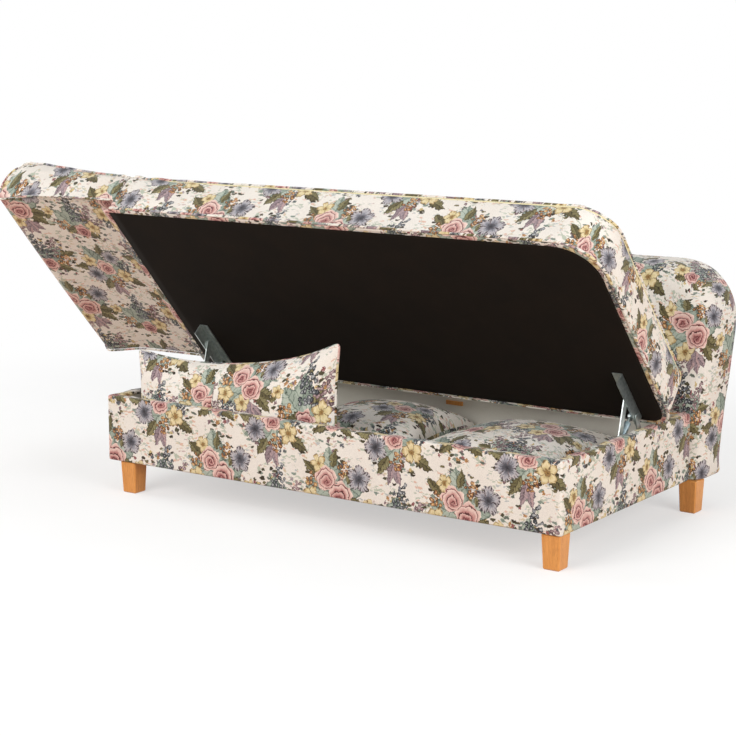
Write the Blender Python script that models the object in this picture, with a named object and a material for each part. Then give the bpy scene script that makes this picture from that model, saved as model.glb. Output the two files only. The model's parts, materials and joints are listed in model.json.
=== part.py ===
"""Recamier: a storage box on four legs, a padded backrest behind it, and a seat that lifts on links.

Built in metres, +Z up. The box frame has X along the length (0 at the box's right end, negative to
the left), Y from the front (0) to the back, and Z from the floor. A root empty then brings the middle
of the footprint to the origin. The seat is drawn closed and carried to its open stop by its own empty.
"""
import itertools
import math

import bmesh
import bpy
import numpy as np
from mathutils import Matrix, Vector

# Clearance between pieces that touch
GAP = 0.0003

# Storage box
BOX_LENGTH = 1.50
BOX_DEPTH = 0.72
BOX_HEIGHT = 0.19
BOX_CORNER = 0.010
BOARD = 0.024
COVER = 0.003
LINING = 0.0015
FLOOR = 0.005
FLOOR_RAISE = 0.020
BATTEN = 0.018
CLEAT = 0.006
CLEAT_LENGTH = 0.056
CLEAT_HEIGHT = 0.012
CLEAT_RISE = 0.133
CLEAT_FROM_RIGHT = 0.721

# Legs, as square frustums, and their bolts
LEG_HEIGHT = 0.093
LEG_TOP = 0.055
LEG_FOOT = 0.047
LEG_EDGE = 0.003
LEG_INSET = 0.034
LEG_LEFT_INSET = 0.068
REAR_LEG_BEHIND = 0.028
REAR_LEG_INSET = 0.004
PLATE_SIZE = 0.10
PLATE = 0.016
BOLT_RADIUS = 0.004
BOLT_IN_LEG = 0.025
BOLT_IN_FRAME = 0.012

# Backrest
BACK_STANDOFF = 0.0035
BACK_RIGHT_OVERHANG = 0.030
BACK_THICKNESS = 0.175
BACK_HEIGHT = 0.592
BACK_LEAN = 12.1
BACK_CORNER = 0.18
BACK_EDGE = 0.05
BACK_CROWN = 0.012
BEAM_DEPTH = 0.12
BEAM_HEIGHT = 0.045
BEAM_END_INSET = 0.016
BEAM_CORNER = 0.036
BEAM_SKIN = 0.006
PANEL = 0.020
PANEL_END_INSET = 0.10
PANEL_TOP_INSET = 0.10
BACK_BOLT_REACH = 0.05
BACK_BOLT_RISE = 0.024

# Seat
SEAT_RIGHT_OVERHANG = 0.042
SEAT_LEFT_OVERHANG = 0.032
SEAT_FRONT_OVERHANG = 0.012
SEAT_BACK_SETBACK = 0.034
SEAT_THICKNESS = 0.15
SEAT_CROWN = 0.015
SEAT_EDGE = 0.028
SEAT_CORNER = 0.12
SEAT_BACK_CORNER = 0.055
SEAT_SKIN = 0.004
PAD_SKIN = 0.012
RIM_GAP = 0.004
CLOTH = 0.001
CLOTH_MARGIN = 0.012
LIP = 0.0017
LIP_WIDTH = 0.020
RAIL_WIDTH = 0.06
RAIL_HEIGHT = 0.022
WEB = 0.002
WEB_WIDTH = 0.07
WEB_COUNT_LONG = 8
WEB_COUNT_DEEP = 4
PIPING_RADIUS = 0.004
PIPING_STANDOFF = 0.0006

# Head section and its ratchet fittings
HEAD_LENGTH = 0.478
HEAD_STEP = 0.040
HEAD_RISE = 0.048
HEAD_DROOP = 0.026
HEAD_NOSE = 0.056
HEAD_CHIN = 0.052
HEAD_CORNER = 0.045
HEAD_SKIN = 0.007
HEAD_END_SKIN = 0.06
HEAD_BOARD = 0.020
CREASE_GAP = 0.004
HINGE_DEPTH = 0.024
ARM = 0.004
ARM_EYE = 0.011
ARM_FOOT = 0.092
ARM_ROOM = 0.12
ARM_SLOT_REACH = 0.020
ARM_SLOT_DROP = 0.045
PIN_RADIUS = 0.004
PIN_CLEARANCE = 0.0003

# Lift fittings: pivots are measured from the box's back and bottom, or below the seat's underside
OPEN_ANGLE = 48.6
LINK_SWING = 46.85
FRONT_PIVOT_FROM_BACK = 0.363
FRONT_PIVOT_RISE = 0.0785
RAIL_FRONT_PIVOT_FROM_BACK = 0.170
RAIL_FRONT_PIVOT_DROP = 0.014
RAIL_REAR_PIVOT_FROM_BACK = 0.085
RAIL_REAR_PIVOT_DROP = 0.022
REAR_PIVOT_FALL = 0.14
STRUT_PIVOT_FROM_BACK = 0.425
STRUT_PIVOT_RISE = 0.050
STEEL = 0.003
LAYER = 0.004
REAR_LAYER = 1
FLANGE_LAYER = 2
FRONT_LAYER = 3
LINK_WIDTH = 0.020
EYE_RADIUS = 0.012
PIVOT_RADIUS = 0.004
PLATE_MARGIN = 0.018
LID_RAIL_HEIGHT = 0.036
LID_RAIL_LEAF = 0.026
LID_RAIL_AHEAD = 0.07
LID_RAIL_BEHIND = 0.026
STRUT_RADIUS = 0.009
STRUT_BORE = 0.0055
STRUT_ROD = 0.004
STRUT_HEAD_ROOM = 0.022
STRUT_EYE = 0.004
STRUT_BOTTOM = 0.030
ROUND_SIDES = 16

# Stored cushions: sizes, and the middle of each from the box's ends and back
LONG_CUSHION_WIDTH = 0.729
LONG_CUSHION_LEFT = 0.285
LONG_CUSHION_RIGHT = 0.360
LONG_CUSHION_THICK = 0.12
LONG_CUSHION_LEAN = 0.005
LONG_CUSHION_DIP = 0.10
LONG_CUSHION_FROM_LEFT = 0.3975
SQUARE_CUSHION_THICK = 0.125
REAR_CUSHION_SIZE = 0.41
REAR_CUSHION_FROM_RIGHT = 0.845
REAR_CUSHION_FROM_BACK = 0.27
REAR_CUSHION_TURN = 6.0
FRONT_CUSHION_SIZE = 0.485
FRONT_CUSHION_FROM_RIGHT = 0.350
FRONT_CUSHION_FROM_BACK = 0.305
FRONT_CUSHION_TURN = -5.0
CUSHION_SEAM = 0.006
CUSHION_PULL = 0.07

# Values that follow from the sizes above
WALL = COVER + GAP + BOARD + GAP + LINING
BOTTOM = LEG_HEIGHT
RIM = BOTTOM + BOX_HEIGHT
UNDERSIDE = RIM + RIM_GAP
SEAT_TOP = UNDERSIDE + SEAT_THICKNESS
SEAT_LEFT = -BOX_LENGTH - SEAT_LEFT_OVERHANG
SEAT_RIGHT = SEAT_RIGHT_OVERHANG
SEAT_FRONT = -SEAT_FRONT_OVERHANG
SEAT_BACK = BOX_DEPTH - SEAT_BACK_SETBACK
FLOOR_LOW = BOTTOM + FLOOR_RAISE
FLOOR_TOP = FLOOR_LOW + FLOOR
FRAME_LOW = UNDERSIDE + CLOTH + GAP + LIP + GAP
FRAME_TOP = FRAME_LOW + RAIL_HEIGHT
BACK_FRONT = BOX_DEPTH + BACK_STANDOFF
LEAN = math.tan(math.radians(BACK_LEAN))


def clear_scene():
    """Empty the scene without closing the file."""
    for item in list(bpy.data.objects):
        bpy.data.objects.remove(item, do_unlink=True)


def new_collection(name):
    collection = bpy.data.collections.new(name)
    bpy.context.scene.collection.children.link(collection)
    return collection


def finish(name, colour, roughness, metallic=0.0):
    """One Principled material."""
    material = bpy.data.materials.new(name)
    material.use_nodes = True
    shader = material.node_tree.nodes["Principled BSDF"]
    shader.inputs["Base Color"].default_value = (*colour, 1.0)
    shader.inputs["Roughness"].default_value = roughness
    shader.inputs["Metallic"].default_value = metallic
    return material


clear_scene()
PARTS = new_collection("recamier")
CUTTERS = new_collection("cutters")

FLORAL = finish("floral_fabric", (0.72, 0.62, 0.54), 0.85)
BLACK_CLOTH = finish("underside_cloth", (0.012, 0.010, 0.009), 0.9)
BEECH = finish("beech", (0.60, 0.33, 0.12), 0.45)
PINE = finish("pine_board", (0.55, 0.40, 0.24), 0.6)
WHITE_LINING = finish("white_lining", (0.70, 0.68, 0.64), 0.7)
FOAM = finish("foam", (0.75, 0.70, 0.50), 0.9)
WEBBING = finish("webbing", (0.30, 0.26, 0.20), 0.85)
ZINC = finish("zinc_steel", (0.50, 0.53, 0.55), 0.35, 1.0)
STRUT_STEEL = finish("strut_steel", (0.30, 0.38, 0.45), 0.3, 1.0)


def add_object(name, data, material=None, carrier=None):
    """Link a part, hung on a carrier empty, with its mesh drawn in the box frame."""
    item = bpy.data.objects.new(name, data)
    (PARTS if material else CUTTERS).objects.link(item)
    if material:
        data.materials.append(material)
    else:
        item.hide_render = True
        item.display_type = "WIRE"
    carrier = carrier or ROOT
    item.parent = carrier
    item.location = -Vector(carrier.get("drawn_at", (0.0, 0.0, 0.0)))
    return item


def add_empty(name, parent=None, drawn_at=(0.0, 0.0, 0.0)):
    """An empty on a joint's axis. drawn_at is where that axis lies as the parts are drawn."""
    empty = bpy.data.objects.new(name, None)
    PARTS.objects.link(empty)
    empty["drawn_at"] = tuple(drawn_at)
    empty.parent = parent
    return empty


ROOT = add_empty("recamier_origin")


def mesh_of(name, build):
    """A mesh datablock filled by build(bm)."""
    bm = bmesh.new()
    build(bm)
    bmesh.ops.recalc_face_normals(bm, faces=bm.faces)
    mesh = bpy.data.meshes.new(name)
    bm.to_mesh(mesh)
    bm.free()
    return mesh


def add_box(bm, low, high):
    """A box from its low and high corners."""
    low, high = Vector(low), Vector(high)
    size = high - low
    matrix = Matrix.Translation((low + high) / 2) @ Matrix.Diagonal((*size, 1.0))
    return bmesh.ops.create_cube(bm, size=1.0, matrix=matrix)["verts"]


def add_rod(bm, start, end, radius, radius_end=None):
    """A round bar from start to end."""
    start, end = Vector(start), Vector(end)
    axis = end - start
    turn = Vector((0, 0, 1)).rotation_difference(axis).to_matrix().to_4x4()
    bmesh.ops.create_cone(
        bm, cap_ends=True, segments=ROUND_SIDES, radius1=radius,
        radius2=radius if radius_end is None else radius_end, depth=axis.length,
        matrix=Matrix.Translation((start + end) / 2) @ turn)


def boxes(name, corners, material=None, carrier=None):
    """One node of one or more boxes."""
    def build(bm):
        for low, high in corners:
            add_box(bm, low, high)
    return add_object(name, mesh_of(name, build), material, carrier)


def rods(name, spans, radius, material=None, carrier=None):
    """One node of one or more round bars."""
    def build(bm):
        for start, end in spans:
            add_rod(bm, start, end, radius)
    item = add_object(name, mesh_of(name, build), material, carrier)
    item.data.shade_smooth()
    item.data.set_sharp_from_angle(angle=math.radians(40))
    return item


def arc(centre, radius, start, end, steps):
    """Points on an arc, angles in degrees."""
    angles = np.radians(np.linspace(start, end, steps + 1))
    return [(centre[0] + radius * math.cos(a), centre[1] + radius * math.sin(a)) for a in angles]


def circle(centre, radius):
    return arc(centre, radius, 0, 360, ROUND_SIDES)[:-1]


def capsule(start, end, radius):
    """The outline of a strap with round ends."""
    angle = math.degrees(math.atan2(end[1] - start[1], end[0] - start[0]))
    half = ROUND_SIDES // 2
    return arc(end, radius, angle - 90, angle + 90, half) + arc(start, radius, angle + 90, angle + 270, half)


def rounded_rectangle(low, high, radii):
    """An outline with its own radius at the low-low, high-low, high-high and low-high corners."""
    corners = [(low[0], low[1]), (high[0], low[1]), (high[0], high[1]), (low[0], high[1])]
    inward = [(1, 1), (-1, 1), (-1, -1), (1, -1)]
    points = []
    for index, (corner, way, radius) in enumerate(zip(corners, inward, radii)):
        if radius <= 0:
            points.append(corner)
            continue
        centre = (corner[0] + way[0] * radius, corner[1] + way[1] * radius)
        points += arc(centre, radius, 180 + 90 * index, 270 + 90 * index, 8)
    return points


UPRIGHT = Matrix.Identity(3)
ACROSS = Matrix(((0, 0, 1), (1, 0, 0), (0, 1, 0)))
LENGTHWISE = Matrix(((1, 0, 0), (0, 0, -1), (0, 1, 0)))


def plate_mesh(name, outline, low, high, holes=(), facing=UPRIGHT):
    """A flat outline, with holes, given a thickness from low to high along its facing."""
    curve = bpy.data.curves.new(name, "CURVE")
    curve.dimensions = "2D"
    curve.fill_mode = "BOTH"
    curve.extrude = (high - low) / 2
    for ring in (outline, *holes):
        spline = curve.splines.new("POLY")
        spline.points.add(len(ring) - 1)
        for point, place in zip(spline.points, ring):
            point.co = (place[0], place[1], 0.0, 1.0)
        spline.use_cyclic_u = True
    drawn = bpy.data.objects.new(name, curve)
    bpy.context.scene.collection.objects.link(drawn)
    bpy.context.view_layer.update()
    mesh = bpy.data.meshes.new_from_object(drawn.evaluated_get(bpy.context.evaluated_depsgraph_get()))
    bpy.data.objects.remove(drawn, do_unlink=True)
    bm = bmesh.new()
    bm.from_mesh(mesh)
    bmesh.ops.remove_doubles(bm, verts=bm.verts, dist=1e-5)
    middle = Vector((0.0, 0.0, (low + high) / 2))
    bmesh.ops.transform(bm, matrix=facing.to_4x4() @ Matrix.Translation(middle), verts=bm.verts)
    bmesh.ops.recalc_face_normals(bm, faces=bm.faces)
    bm.to_mesh(mesh)
    bm.free()
    mesh.materials.clear()
    return mesh


def plate(name, outline, low, high, material=None, carrier=None, holes=(), facing=UPRIGHT):
    return add_object(name, plate_mesh(name, outline, low, high, holes, facing), material, carrier)


def boolean(item, tool, operation="DIFFERENCE"):
    modifier = item.modifiers.new(tool.name, "BOOLEAN")
    modifier.operation = operation
    modifier.solver = "EXACT"
    modifier.object = tool


def tube(name, points, radius, closed=False):
    """The mesh of a round cord along points."""
    curve = bpy.data.curves.new(name, "CURVE")
    curve.dimensions = "3D"
    curve.bevel_depth = radius
    curve.bevel_resolution = 1
    curve.use_fill_caps = True
    spline = curve.splines.new("POLY")
    spline.points.add(len(points) - 1)
    for point, place in zip(spline.points, points):
        point.co = (*place, 1.0)
    spline.use_cyclic_u = closed
    drawn = bpy.data.objects.new(name, curve)
    bpy.context.scene.collection.objects.link(drawn)
    bpy.context.view_layer.update()
    mesh = bpy.data.meshes.new_from_object(drawn.evaluated_get(bpy.context.evaluated_depsgraph_get()))
    bpy.data.objects.remove(drawn, do_unlink=True)
    bm = bmesh.new()
    bm.from_mesh(mesh)
    bmesh.ops.remove_doubles(bm, verts=bm.verts, dist=1e-5)
    bmesh.ops.recalc_face_normals(bm, faces=bm.faces)
    bm.to_mesh(mesh)
    bm.free()
    mesh.materials.clear()
    return mesh


def graded(low, high, near_low, near_high, count):
    """Grid positions from low to high, with extra lines at given distances from either end."""
    inner = np.linspace(low + max(near_low, default=0.0), high - max(near_high, default=0.0), count + 1)
    lines = [low] + [low + d for d in sorted(near_low)[:-1]]
    lines += list(inner) + [high - d for d in sorted(near_high, reverse=True)[1:]] + [high]
    return [line for i, line in enumerate(lines) if i == 0 or line - lines[i - 1] > 1e-6]


def soft_mesh(name, lines, shape):
    """A box on the given grid lines, each of whose points is then moved by shape(point)."""
    def build(bm):
        add_box(bm, (0, 0, 0), (1, 1, 1))
        for axis in range(3):
            along = [e for e in bm.edges
                     if abs(e.verts[0].co[axis] - e.verts[1].co[axis]) > 0.5]
            cuts = len(lines[axis]) - 2
            if cuts:
                bmesh.ops.subdivide_edges(bm, edges=along, cuts=cuts, use_grid_fill=True)
        for vert in bm.verts:
            place = [lines[a][round(vert.co[a] * (len(lines[a]) - 1))] for a in range(3)]
            vert.co = shape(Vector(place))
    mesh = mesh_of(name, build)
    mesh.shade_smooth()
    mesh.set_sharp_from_angle(angle=math.radians(50))
    return mesh


def round_off(offset):
    """Turn a square corner region into a round one, keeping its radius."""
    longest = max(abs(c) for c in offset)
    length = math.sqrt(sum(c * c for c in offset))
    return [c * longest / length for c in offset] if length > 0 else list(offset)


def soften(point, low, high, faces, sides, edge, corner):
    """Round a padded slab's rims by edge, and by corner each place where two of its sides meet.

    faces and sides are (axis, way) pairs, with way -1 at the low end and 1 at the high end.
    """
    def inset(axis, way):
        return high[axis] - point[axis] if way > 0 else point[axis] - low[axis]

    side_inset, side = min((inset(*s), s) for s in sides)
    face_inset, face = min((inset(*f), f) for f in faces)
    new_side, new_face = side_inset, face_inset
    if side_inset < edge and face_inset < edge:
        across, down = round_off((edge - side_inset, edge - face_inset))
        new_side, new_face = edge - across, edge - down
    place = point.copy()
    place[face[0]] += face[1] * (face_inset - new_face)
    place[side[0]] += side[1] * (side_inset - new_side)
    for pair in itertools.combinations(sides, 2):
        offset = [corner - inset(*s) for s in pair]
        if pair[0][0] != pair[1][0] and min(offset) > 0:
            share = (corner - new_side) / math.hypot(*offset)
            for (axis, way), part in zip(pair, offset):
                end = high[axis] if way > 0 else low[axis]
                place[axis] = end - way * (corner - part * share)
    return place


def round_corner(point, axes, corner, ways, radius):
    """Round one upright corner of a form, seen along the axis that isn't in axes."""
    offset = [ways[i] * (point[axes[i]] - corner[i]) + radius for i in range(2)]
    if min(offset) > 0:
        offset = round_off(offset)
        for i in range(2):
            point[axes[i]] = corner[i] + ways[i] * (offset[i] - radius)
    return point


def bulge(value, low, high):
    """1 in the middle of a span and 0 at its ends."""
    share = (value - low) / (high - low)
    return max(0.0, 4 * share * (1 - share))


def near(radius):
    """Two grid lines that give a rounded edge its facets."""
    return (radius * (1 - math.tan(math.radians(22.5))), radius)


# Storage box

def build_box():
    inner = COVER + GAP
    board_low = BOTTOM + COVER
    board_top = RIM - COVER - GAP
    left, right = -BOX_LENGTH + inner, -inner
    side_front = inner + BOARD + GAP
    side_back = BOX_DEPTH - BOARD - GAP
    eased = BOX_CORNER - inner
    plate("front_board", rounded_rectangle((left, inner), (right, inner + BOARD), (eased, eased, 0, 0)),
          board_low, board_top, PINE)
    boxes("left_board", [((left, side_front, board_low), (left + BOARD, side_back, board_top))], PINE)
    boxes("right_board", [((right - BOARD, side_front, board_low), (right, side_back, board_top))], PINE)
    back = boxes("back_board", [((left, BOX_DEPTH - BOARD, board_low), (right, BOX_DEPTH, board_top))], PINE)

    room_low = (-BOX_LENGTH + WALL - LINING, WALL - LINING)
    room_high = (-WALL + LINING, BOX_DEPTH - BOARD - GAP)
    lined_low = (room_low[0] + LINING, room_low[1] + LINING)
    lined_high = (room_high[0] - LINING, room_high[1] - LINING)
    plate("wall_lining", rounded_rectangle(room_low, room_high, (0, 0, 0, 0)), FLOOR_TOP + GAP, board_top,
          WHITE_LINING, holes=[rounded_rectangle(lined_low, lined_high, (0, 0, 0, 0))])
    boxes("floor_panel", [((room_low[0], room_low[1], FLOOR_LOW), (room_high[0], room_high[1], FLOOR_TOP))],
          WHITE_LINING)
    cleat_back = lined_high[1] - GAP
    boxes("back_cleat", [((-CLEAT_FROM_RIGHT - CLEAT_LENGTH, cleat_back - CLEAT, BOTTOM + CLEAT_RISE),
                          (-CLEAT_FROM_RIGHT, cleat_back, BOTTOM + CLEAT_RISE + CLEAT_HEIGHT))], BEECH)
    low, top = FLOOR_LOW - GAP - BATTEN, FLOOR_LOW - GAP
    middle = -BOX_LENGTH / 2
    front_span = (room_low[0] + PLATE_SIZE + LEG_LEFT_INSET, room_high[0] - PLATE_SIZE)
    boxes("floor_batten_back", [((room_low[0], room_high[1] - BATTEN, low),
                                 (room_high[0], room_high[1], top))], PINE)
    boxes("floor_batten_front", [((front_span[0], room_low[1], low),
                                  (front_span[1], room_low[1] + BATTEN, top))], PINE)
    boxes("floor_batten_middle", [((middle - BATTEN, room_low[1] + BATTEN + GAP, low),
                                   (middle + BATTEN, room_high[1] - BATTEN - GAP, top))], PINE)

    outline = rounded_rectangle((-BOX_LENGTH, 0), (0, BOX_DEPTH), (BOX_CORNER, BOX_CORNER, 0, 0))
    cover = plate("box_cover", outline, BOTTOM, RIM, FLORAL)
    skin = rounded_rectangle((-BOX_LENGTH + COVER, COVER), (-COVER, BOX_DEPTH + BOARD),
                             (BOX_CORNER - COVER, BOX_CORNER - COVER, 0, 0))
    boolean(cover, plate("cover_hollow", skin, BOTTOM - BOARD, RIM - COVER))
    mouth = rounded_rectangle(lined_low, (lined_high[0], BOX_DEPTH + BOARD), (0, 0, 0, 0))
    boolean(cover, plate("cover_mouth", mouth, BOTTOM - BOARD, RIM + BOARD))
    return back, room_low, room_high


def leg_places():
    """The four legs' middles, by name."""
    rear = BOX_DEPTH + REAR_LEG_BEHIND
    return {"leg_front_right": (-LEG_INSET, LEG_INSET),
            "leg_front_left": (-BOX_LENGTH + LEG_LEFT_INSET, LEG_INSET),
            "leg_rear_right": (-REAR_LEG_INSET, rear),
            "leg_rear_left": (-BOX_LENGTH + LEG_LEFT_INSET, rear)}


def build_legs(room_low, room_high, beam):
    """Legs, the corner plates that carry the front pair, and the bolts through both."""
    plate_low = BOTTOM + GAP
    holes = []
    carriers = [beam]
    for name, (x, y) in leg_places().items():
        low, high = LEG_HEIGHT - BOLT_IN_LEG, BOTTOM + BOLT_IN_FRAME
        rods(name.replace("leg", "leg_bolt"), [((x, y, low), (x, y, high))], BOLT_RADIUS, ZINC)
        holes.append(((x, y, low - GAP), (x, y, high + GAP)))
        if "front" in name:
            left, right = max(x - PLATE_SIZE / 2, room_low[0]), min(x + PLATE_SIZE / 2, room_high[0])
            span = ((left, room_low[1], plate_low), (right, room_low[1] + PLATE_SIZE, plate_low + PLATE))
            carriers.append(boxes(name.replace("leg_front", "corner_plate"), [span], PINE))
    hole = rods("leg_bolt_holes", holes, BOLT_RADIUS + GAP)
    for carrier in carriers:
        boolean(carrier, hole)
    taper = LEG_FOOT / LEG_TOP

    def build(bm):
        verts = add_box(bm, (-LEG_TOP / 2, -LEG_TOP / 2, 0), (LEG_TOP / 2, LEG_TOP / 2, LEG_HEIGHT - GAP))
        for vert in verts:
            if vert.co.z < LEG_HEIGHT / 2:
                vert.co.x *= taper
                vert.co.y *= taper
        bmesh.ops.bevel(bm, geom=bm.edges[:], offset=LEG_EDGE, segments=1, affect="EDGES")
    for name, (x, y) in leg_places().items():
        leg = add_object(name, mesh_of(name, build), BEECH)
        leg.location = (x, y, 0)
        boolean(leg, hole)


# Backrest

def lean(point):
    """Lean the backrest's form: the rear from the bottom, the front from the rim upward."""
    share = (point.y - BACK_FRONT) / BACK_THICKNESS
    front = LEAN * max(0.0, point.z - RIM)
    rear = LEAN * (point.z - BOTTOM)
    return Vector((point.x, point.y + (1 - share) * front + share * rear, point.z))


def build_backrest(back_board):
    left, right = -BOX_LENGTH, BACK_RIGHT_OVERHANG
    low = (left, BACK_FRONT, BOTTOM)
    high = (right, BACK_FRONT + BACK_THICKNESS, BOTTOM + BACK_HEIGHT)

    def form(point):
        place = soften(point, low, high, ((1, -1), (1, 1)), ((0, -1), (0, 1), (2, 1)), BACK_EDGE, BACK_CORNER)
        if place.z > RIM:
            crown = BACK_CROWN * bulge(place.x, left, right) * bulge(place.z, RIM, high[2])
            place.y += crown * (2 * (place.y - low[1]) / BACK_THICKNESS - 1)
        return lean(place)

    ends = near(BACK_EDGE) + near(BACK_CORNER)
    lines = (graded(left, right, ends, ends, 8), graded(low[1], high[1], near(BACK_EDGE), near(BACK_EDGE), 2),
             graded(low[2], high[2], (), ends, 5))
    cover = add_object("backrest_cover", soft_mesh("backrest_cover", lines, form), FLORAL)

    beam_low, beam_top = BOTTOM + COVER, BOTTOM + COVER + BEAM_HEIGHT

    def beam_outline(spread):
        ends = ((left + BEAM_END_INSET - spread, BACK_FRONT + BEAM_SKIN - spread),
                (right - BEAM_END_INSET + spread, BACK_FRONT + BEAM_SKIN + BEAM_DEPTH + spread))
        return rounded_rectangle(*ends, [BEAM_CORNER + spread] * 4)

    beam = plate("backrest_beam", beam_outline(0.0), beam_low, beam_top, PINE)
    boolean(cover, plate("backrest_beam_room", beam_outline(GAP), beam_low - BOARD, beam_top + GAP))

    middle = (low[1] + high[1]) / 2
    panel_low = Vector((left + PANEL_END_INSET, middle - PANEL / 2, beam_top + GAP))
    panel_high = Vector((right - PANEL_END_INSET, middle + PANEL / 2, high[2] - PANEL_TOP_INSET))
    levels = [panel_low.z, RIM, panel_high.z]

    def leaning(name, spread, material=None):
        xs = [panel_low.x - spread, panel_high.x + spread]
        ys = [panel_low.y - spread, panel_high.y + spread]
        zs = [levels[0] - 2 * spread, levels[1], levels[2] + spread]
        return add_object(name, soft_mesh(name, (xs, ys, zs), lean), material)

    leaning("backrest_panel", 0.0, PINE)
    boolean(cover, leaning("backrest_panel_room", GAP))

    start, end = BOX_DEPTH - BOARD / 2, BACK_FRONT + BACK_BOLT_REACH
    rise = BOTTOM + BACK_BOLT_RISE
    places = (-BOX_LENGTH + PANEL_END_INSET, -PANEL_END_INSET)
    for side, x in zip(("left", "right"), places):
        rods("backrest_bolt_" + side, [((x, start, rise), (x, end, rise))], BOLT_RADIUS, ZINC)
    hole = rods("backrest_bolt_holes", [((x, start - GAP, rise), (x, end + GAP, rise)) for x in places],
                BOLT_RADIUS + GAP)
    for item in (back_board, cover, beam):
        boolean(item, hole)
    return beam


# Seat

def seat_outline(inset, left):
    """The seat in plan, drawn in by inset, with its right corners round."""
    front, back = max(SEAT_CORNER - inset, GAP), max(SEAT_BACK_CORNER - inset, GAP)
    return rounded_rectangle((left, SEAT_FRONT + inset), (SEAT_RIGHT - inset, SEAT_BACK - inset),
                             (0, front, back, 0))


def piping_path(inset, height):
    """The seam round the seat's front, right end and back, open at the crease."""
    ring = seat_outline(inset, SEAT_LEFT + PIPING_RADIUS)
    return [(x, y, height) for x, y in ring]


def build_seat(lid):
    low = (SEAT_LEFT, SEAT_FRONT, UNDERSIDE + CLOTH + GAP)
    high = (SEAT_RIGHT, SEAT_BACK, SEAT_TOP)

    def form(point):
        crown = SEAT_CROWN * bulge(point.x, low[0], high[0]) * bulge(point.y, low[1], high[1])
        on_top = high[2] - point.z < GAP
        at_front = point.y < (low[1] + high[1]) / 2
        side, corner = ((1, -1), SEAT_CORNER) if at_front else ((1, 1), SEAT_BACK_CORNER)
        place = soften(point, low, high, ((2, 1),), ((0, 1), side), SEAT_EDGE, corner)
        place = round_corner(place, (0, 2), (low[0], high[2]), (-1, 1), SEAT_EDGE)
        return place + Vector((0, 0, crown if on_top else 0))

    front, back = near(SEAT_EDGE) + near(SEAT_CORNER), near(SEAT_EDGE) + near(SEAT_BACK_CORNER)
    lines = (graded(low[0], high[0], near(SEAT_EDGE), {*front, *back}, 8),
             graded(low[1], high[1], front, back, 4),
             graded(low[2], high[2], (), near(SEAT_EDGE), 3))
    cover = add_object("seat_cover", soft_mesh("seat_cover", lines, form), FLORAL, lid)
    boolean(cover, plate("seat_frame_room", seat_outline(SEAT_SKIN, SEAT_LEFT + SEAT_SKIN), FRAME_LOW - GAP,
                         FRAME_TOP + GAP, None, lid))
    boolean(cover, plate("seat_foam_room", seat_outline(PAD_SKIN, SEAT_LEFT + PAD_SKIN), FRAME_TOP,
                         SEAT_TOP - PAD_SKIN, None, lid))
    boolean(cover, plate("seat_mouth", seat_outline(LIP_WIDTH, SEAT_LEFT + LIP_WIDTH),
                         UNDERSIDE - RIM_GAP, FRAME_LOW + GAP, None, lid))

    inset = SEAT_SKIN + GAP
    frame_left = SEAT_LEFT + inset
    inner = rounded_rectangle((frame_left + RAIL_WIDTH, SEAT_FRONT + inset + RAIL_WIDTH),
                              (SEAT_RIGHT - inset - RAIL_WIDTH, SEAT_BACK - inset - RAIL_WIDTH), (0, 0, 0, 0))
    plate("seat_frame", seat_outline(inset, frame_left), FRAME_LOW, FRAME_TOP, PINE, lid, holes=[inner])
    web_low, web_top = FRAME_TOP + GAP, FRAME_TOP + GAP + WEB
    web_left, web_right = frame_left + ARM_ROOM, SEAT_RIGHT - inset - RAIL_WIDTH / 2
    web_front, web_back = SEAT_FRONT + inset + RAIL_WIDTH / 2, SEAT_BACK - inset - RAIL_WIDTH / 2
    columns = np.linspace(web_left, web_right - WEB_WIDTH, WEB_COUNT_LONG)
    rows = np.linspace(web_front, web_back - WEB_WIDTH, WEB_COUNT_DEEP)
    windows = [rounded_rectangle((x + WEB_WIDTH, y + WEB_WIDTH), (next_x, next_y), (0, 0, 0, 0))
               for x, next_x in zip(columns, columns[1:]) for y, next_y in zip(rows, rows[1:])]
    web_corners = [max(corner - inset - RAIL_WIDTH / 2, 0.0) for corner in (SEAT_CORNER, SEAT_BACK_CORNER)]
    plate("seat_webbing", rounded_rectangle((web_left, web_front), (web_right, web_back),
                                            (0, *web_corners, 0)),
          web_low, web_top, WEBBING, lid, holes=windows)
    foam = plate("seat_foam", seat_outline(PAD_SKIN + GAP, SEAT_LEFT + PAD_SKIN + GAP), web_top + GAP,
                 SEAT_TOP - PAD_SKIN - GAP, FOAM, lid)

    plate("underside_cloth", seat_outline(CLOTH_MARGIN, SEAT_LEFT), UNDERSIDE, UNDERSIDE + CLOTH,
          BLACK_CLOTH, lid)
    standoff = PIPING_RADIUS + PIPING_STANDOFF
    out = (SEAT_EDGE + standoff) * math.sqrt(0.5)
    seams = {"seat_piping_top": (SEAT_EDGE - out, SEAT_TOP - SEAT_EDGE + out),
             "seat_piping_low": (-standoff, low[2] + PIPING_RADIUS)}
    for name, (seam_inset, height) in seams.items():
        add_object(name, tube(name, piping_path(seam_inset, height), PIPING_RADIUS), FLORAL, lid)
    return cover, foam


# Head section

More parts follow.
